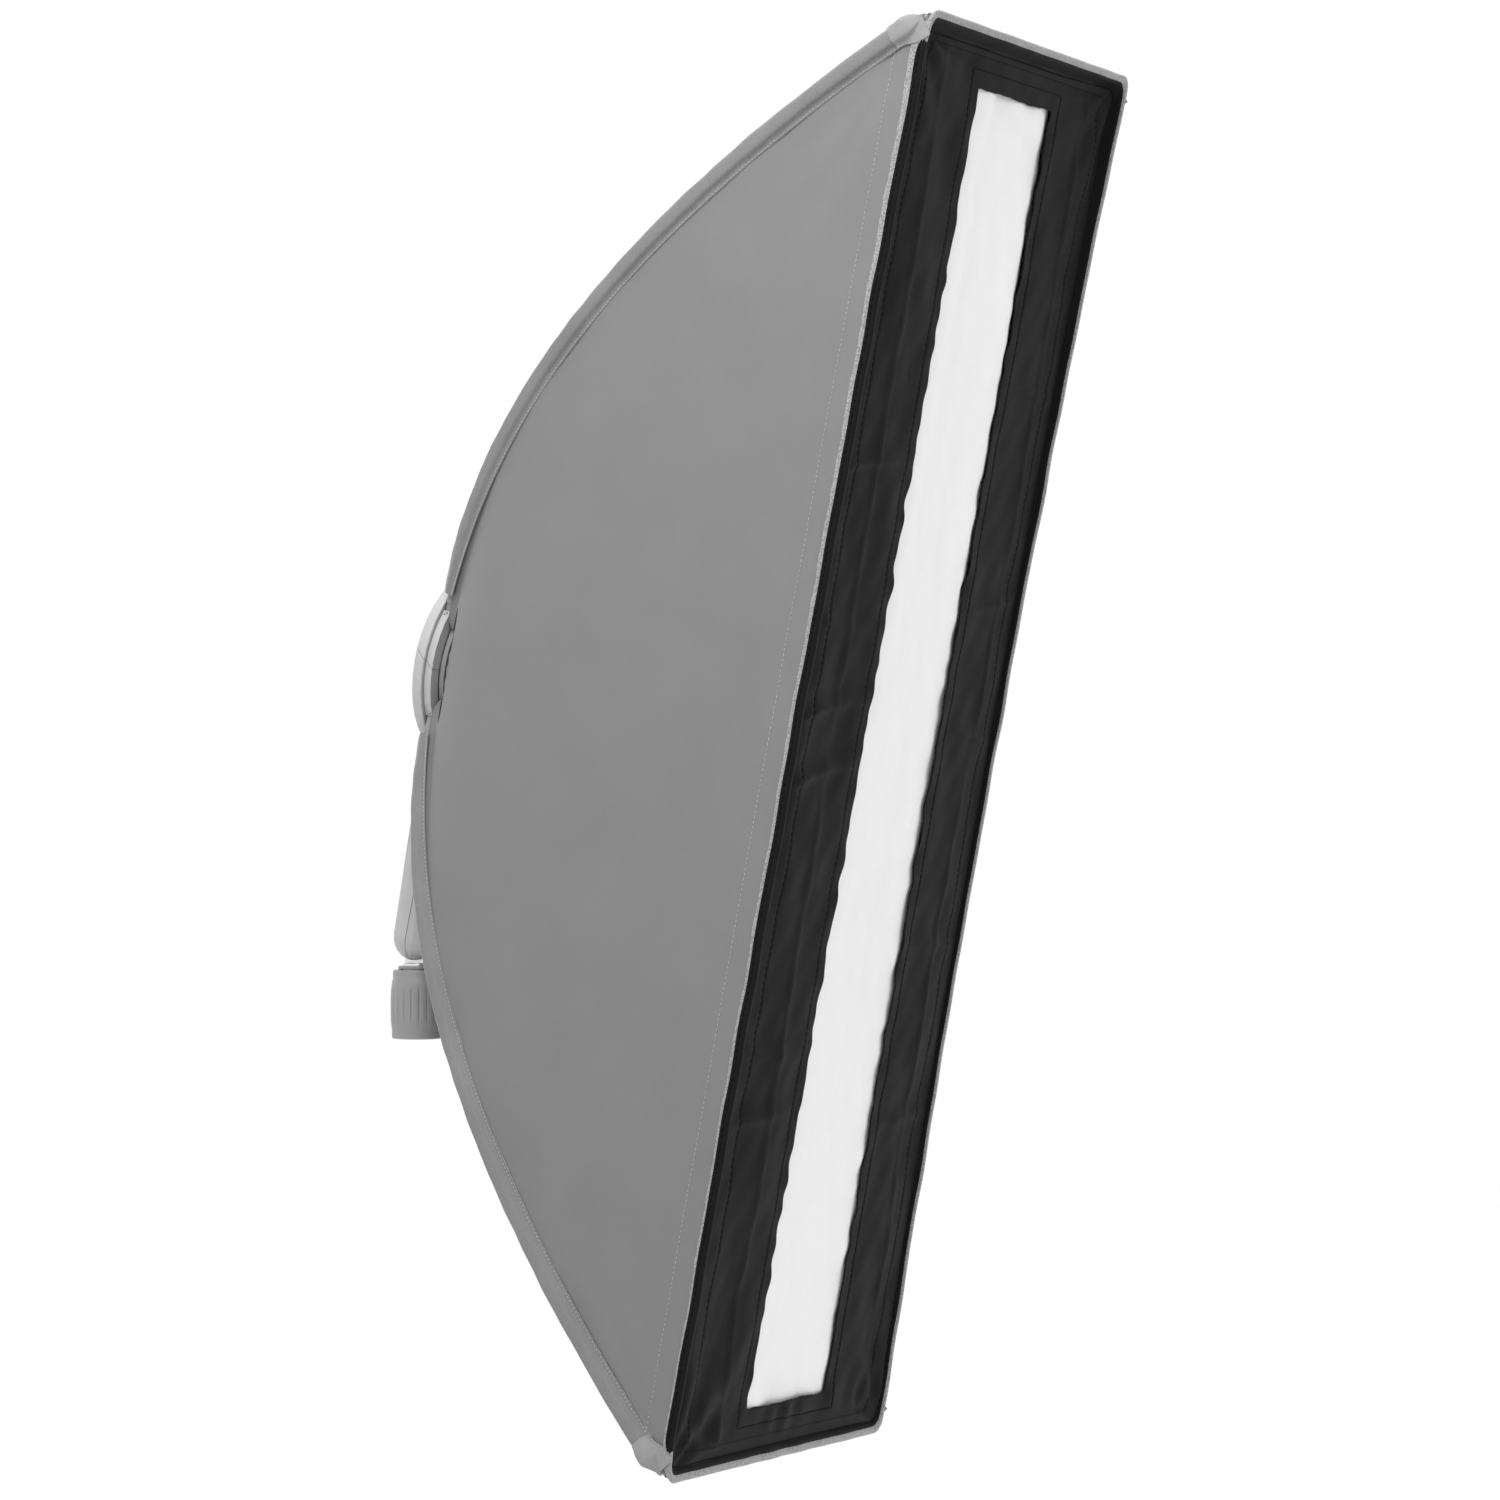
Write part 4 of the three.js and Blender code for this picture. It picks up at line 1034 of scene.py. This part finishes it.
def ring_cloth(grid):
    """Cloth directions on the front: along X and Z, with the run down the flange counted in.

    Near a corner the run follows the mitre, so an end part's span is longer than its cut.
    """
    run = np.cumsum(np.linalg.norm(np.diff(grid, axis=0, prepend=grid[:1]), axis=2), 0)
    side = np.abs(grid[..., 0]) * 440 > np.abs(grid[..., 2]) * 140
    across = np.where(side, np.sign(grid[..., 0]) * (150 - run), grid[..., 0])
    along = np.where(side, grid[..., 2], np.sign(grid[..., 2]) * (450 - run))
    return np.stack([across, along], -1)


def make_mask(paints):
    grid, marks = mask_grid()
    # painted shade: darker along the hem, frame and slit stitch lines and at the binding and the fold
    seam_shade = np.zeros(grid.shape[:2])
    seam_shade[[marks["hem"], marks["frame"], marks["slit"]]] = 0.45
    seam_shade[[marks["binding"], marks["fold"]]] = 0.7
    facing = (marks["frame"] - 3, 0, (0, -1, 0))
    threads_on = (marks["binding"], marks["fold"] + 1, marks["hem"], marks["frame"])
    make_ring("mask", grid, 0.4, paints["mask"], "strip_mask", facing, seam_shade,
              threads_on, paints["thread"])


def make_lip_tape(paints):
    """Loop tape over the shell's lip. Its fuzzy edges show beside the mask's binding."""
    height = lip_row(0, 0)[:, 2]
    rear = 8.6 + 1.6 * height / LIP_Z
    rear = rear + 0.3 * ripple(height, lip_row(0, 0)[:, 0], 14, 72)
    rows = [lip_row(rear, 0.15)]
    rows += [lip_row(rear + (2.5 - rear) * share, 0.7) for share in (0.04, 0.2, 0.4, 0.6, 0.8, 1.0)]
    rows += lip_wrap(0.7, -2.7, 0.5 - 1.4 * (1 - binding_share()), 5)
    behind = recess_at_lip()
    rows += [lip_row(2.0 + (behind - 2.4) * share, -2.7) for share in (0.25, 0.5, 0.75, 1.0)]
    grid = drawn_in(np.array(rows))
    facing = (4, 0, (1, 0, 0))
    make_ring("lip_tape", grid, 0.4, paints["tape"], "front_lip_tape", facing)


# ---------------------------------------------------------------- diffuser, baffle and skirt

def flat_cloth(name, half_x, half_z, depth, relief, paint, step, hem):
    """A sheet across the softbox. depth and relief are functions of x and z, hem is its hem's width."""
    x = np.linspace(-half_x, half_x, int(2 * half_x / step) | 1)
    z = np.linspace(-half_z, half_z, int(2 * half_z / step) | 1)
    gz, gx = np.meshgrid(z, x, indexing="ij")
    grid = np.stack([gx, depth(gx, gz) - relief(gx, gz), gz], -1)
    normals = grid_normals(grid)
    if normals[2, 2, 1] > 0:
        normals = -normals
    inset = np.minimum(half_x - np.abs(gx), half_z - np.abs(gz))
    # painted shade: darker along the hem line
    seam_shade = np.exp(-(((inset - hem) / 2.0) ** 2))
    piece = cloth_piece(name, grid, normals, 0.4, (paint,), np.stack([gx, gz], -1), seam_shade)
    return piece, grid


def crumple_away(piece):
    """Gives the piece its own copy of its mesh."""
    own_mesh(piece)


DIFFUSER_X = 136.0  # half sizes
DIFFUSER_Z = 424


def diffuser_depth(x, z):
    """It lies close behind the slit and falls back behind the rest of the mask."""
    beyond = edge_distance(x - SLIT_SHIFT, z, *SLIT_LINE[:2])
    return recess(x, z) + 2.6 + 6.4 * smooth(0, 22, beyond) + 2.4 * smooth(60, 140, x)


def diffuser_relief(x, z):
    drapes = 1.0 * ripple(x * 2.6, z, 110, 51, stretch=2.5)
    fine = 0.45 * ripple(x, z, 34, 52)
    pulls = 0.8 * np.sin((x + z * 0.22) / 7.5) * np.exp(-((np.abs(z) - 414) / 60) ** 2)
    return (drapes + fine + pulls) * smooth(0, 20, DIFFUSER_X - np.abs(x))


def make_diffuser(paints):
    piece, grid = flat_cloth("diffuser", DIFFUSER_X, DIFFUSER_Z, diffuser_depth, diffuser_relief,
                             paints["white"], 4.0, 8)
    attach(piece, "hub")
    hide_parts("front_diffuser")
    declare_cut(grid, grid[..., [0, 2]])
    crumple_away(piece)


BAFFLE_Y = -190.0


def baffle_relief(x, z):
    return 1.6 * ripple(x, z, 130, 61, stretch=2) + 0.4 * ripple(x, z, 40, 62)


def make_baffle(paints):
    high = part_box("inner_baffle")[1]
    half_x = high.x / MM
    centre = rod_points(share_at_y(BAFFLE_Y))
    half_z = centre[2] * 0.855
    piece, grid = flat_cloth("baffle", half_x, half_z, lambda x, z: BAFFLE_Y + 0 * x, baffle_relief,
                             paints["white"], 6.0, 7)
    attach(piece, "hub")
    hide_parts("inner_baffle")
    declare_cut(grid, grid[..., [0, 2]])
    crumple_away(piece)
    for name, corner in STRAPS.items():
        make_strap(name, corner, half_x, half_z, centre, paints)


STRAPS = {f"baffle_strap_{corner}": corner for corner in CORNERS}
STRAP_HALF = 6  # half the elastic's width


def make_strap(name, corner, half_x, half_z, centre, paints):
    """Elastic from the baffle's corner to the seam beside the rod."""
    sx, sz = CORNERS[corner]
    start = np.array([(half_x - STRAP_HALF) * sx, BAFFLE_Y - 0.6, (half_z - STRAP_HALF) * sz])
    end = np.array([(centre[0] - 9) * sx, BAFFLE_Y, (centre[2] - 15) * sz])
    t = np.linspace(0, 1, 18)[:, None]
    path = start * (1 - t) + end * t
    path[:, 1] += 1.5 * np.sin(t[:, 0] * math.pi)
    beside = unit(np.cross(end - start, [0, 1, 0]))
    grid = path[:, None] + beside[None, None] * np.linspace(-STRAP_HALF, STRAP_HALF, 7)[None, :, None]
    normals = grid_normals(grid)
    normals = normals * (-np.sign(normals[3, 3, 1]))
    piece = cloth_piece(name, grid, normals, 0.8, (paints["white"],), cloth_coordinates(grid))
    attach(piece, "hub")
    declare_cut(grid, cloth_coordinates(grid))
    crumple_away(piece)


SKIRT_OUTER = (56.5, 51.5)  # half width and half height where it meets the panels
SKIRT_INNER = 45.6  # radius at the hub's ring
SKIRT_SQUARENESS = 5.0


def make_skirt(paints):
    """Cloth that closes the shell round the hub's collar, gathered between the ring and the panels."""
    steps = 160
    angle = np.arange(steps) / steps * 2 * math.pi
    power = SKIRT_SQUARENESS
    shape = (np.abs(np.cos(angle)) ** power + np.abs(np.sin(angle)) ** power) ** (-1 / power)
    half_x, half_z = SKIRT_OUTER
    rectangle = np.stack([np.cos(angle) * shape * half_x, np.sin(angle) * shape * half_z], -1)
    drop = np.where(np.abs(np.cos(angle)) > np.abs(np.sin(angle)), -7.0, 3.2)
    drop = np.convolve(np.tile(drop, 3), np.ones(9) / 9, "same")[steps:2 * steps]
    circle = np.stack([np.cos(angle) * SKIRT_INNER, np.sin(angle) * SKIRT_INNER], -1)
    rows = []
    for share in np.linspace(0, 1, 12):
        place = circle * (1 - share) + rectangle * share
        gather = 0.5 * np.sin(angle * 34) * share * (1 - share) * 4
        y = -19.5 + drop * share**2 + gather * 0.6
        rows.append(np.stack([place[:, 0], y, place[:, 1]], -1))
    for turn_in in (0.6, 1.2, 2.5):
        rows.append(rows[11] + np.array([0, -turn_in * 1.4, 0]))
    grid = np.array(rows)
    normals = grid_normals(grid, closed_columns=True)
    if normals[3, 0, 1] < 0:
        normals = -normals
    grid = np.concatenate([grid, grid[:, :1]], 1)
    normals = np.concatenate([normals, normals[:, :1]], 1)
    piece = cloth_piece("skirt", grid, normals, 0.5, (paints["shell"], paints["silver"]), grid[..., [0, 2]])
    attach(piece, "hub")
    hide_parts("rear_skirt")
    declare_cut(grid, grid[..., [0, 2]])


# ---------------------------------------------------------------- moulded and metal parts

BEVELLED = {
    "rear_cover_upper": "hub", "rear_cover_lower": "hub", "rod_ring_upper": "hub", "rod_ring_lower": "hub",
    "front_collar": "dark", "skirt_clamp_ring": "dark", "arm_ring": "dark", "arm_front_shell": "arm",
    "arm_rear_shell": "arm", "stand_socket": "dark", "spigot_collet": "dark", "collar_cap_ring": "collar",
    "twist_collar": "collar", "stand_stud": "steel", "flash_plate": "steel", "glide_ring": "bearing",
    "retaining_ring": "steel", "friction_washer_left": "bearing", "friction_washer_right": "bearing",
}


def body_of_node(node):
    return next(body for body, nodes in frame["record"]["behaviour"]["bodies"].items() if node in nodes)


def finish_moulding(node, paint):
    """The same part with its facets smoothed and its edges rounded."""
    source = frame["nodes"][node]
    mesh = source.data.copy()
    bm = bmesh.new()
    bm.from_mesh(mesh)
    bmesh.ops.remove_doubles(bm, verts=bm.verts, dist=2e-6)
    bmesh.ops.dissolve_limit(bm, angle_limit=math.radians(1.0), verts=bm.verts, edges=bm.edges)
    bm.to_mesh(mesh)
    bm.free()
    mesh.materials.clear()
    mesh.materials.append(paint)
    mesh.shade_smooth()
    mesh.set_sharp_from_angle(angle=math.radians(30))
    piece = link(f"{node}_moulding", mesh)
    bevel = piece.modifiers.new("round", "BEVEL")
    bevel.width = 0.25 * MM
    bevel.segments = 2
    bevel.limit_method = "ANGLE"
    bevel.angle_limit = math.radians(40)
    bevel.harden_normals = True
    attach(piece, body_of_node(node))
    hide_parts(node)


def make_hardware(paints):
    for node, look in BEVELLED.items():
        finish_moulding(node, paints[look])
    for name, node in frame["nodes"].items():
        if node.hide_render:
            continue
        look = "steel" if ("screw" in name or "pin" in name or "axle" in name) else "dark"
        node.data.materials.clear()
        node.data.materials.append(paints[look])


# ---------------------------------------------------------------- the whole

make_camera()
make_world()
make_floor()
sky_light(1.6)
area_light("key", (-1.1, -0.45, 1.5), (0, -0.2, 0.45), 0.9, 26)
area_light("fill", (1.2, -3.4, 1.4), (0, -0.2, 0.2), 1.6, 16)
area_light("back", (1.0, 3.0, 1.8), (0, 0, 0.3), 2.0, 10)
bpy.context.scene.view_settings.view_transform = "Standard"

paints = make_paints()
for kind in ("side", "end"):
    for sign in (-1, 1):
        make_panel(kind, sign, paints)
for corner in CORNERS:
    make_sleeve(corner, paints)
    make_pocket(corner, paints)
make_lip_tape(paints)
make_mask(paints)
make_diffuser(paints)
make_baffle(paints)
make_skirt(paints)
make_hardware(paints)
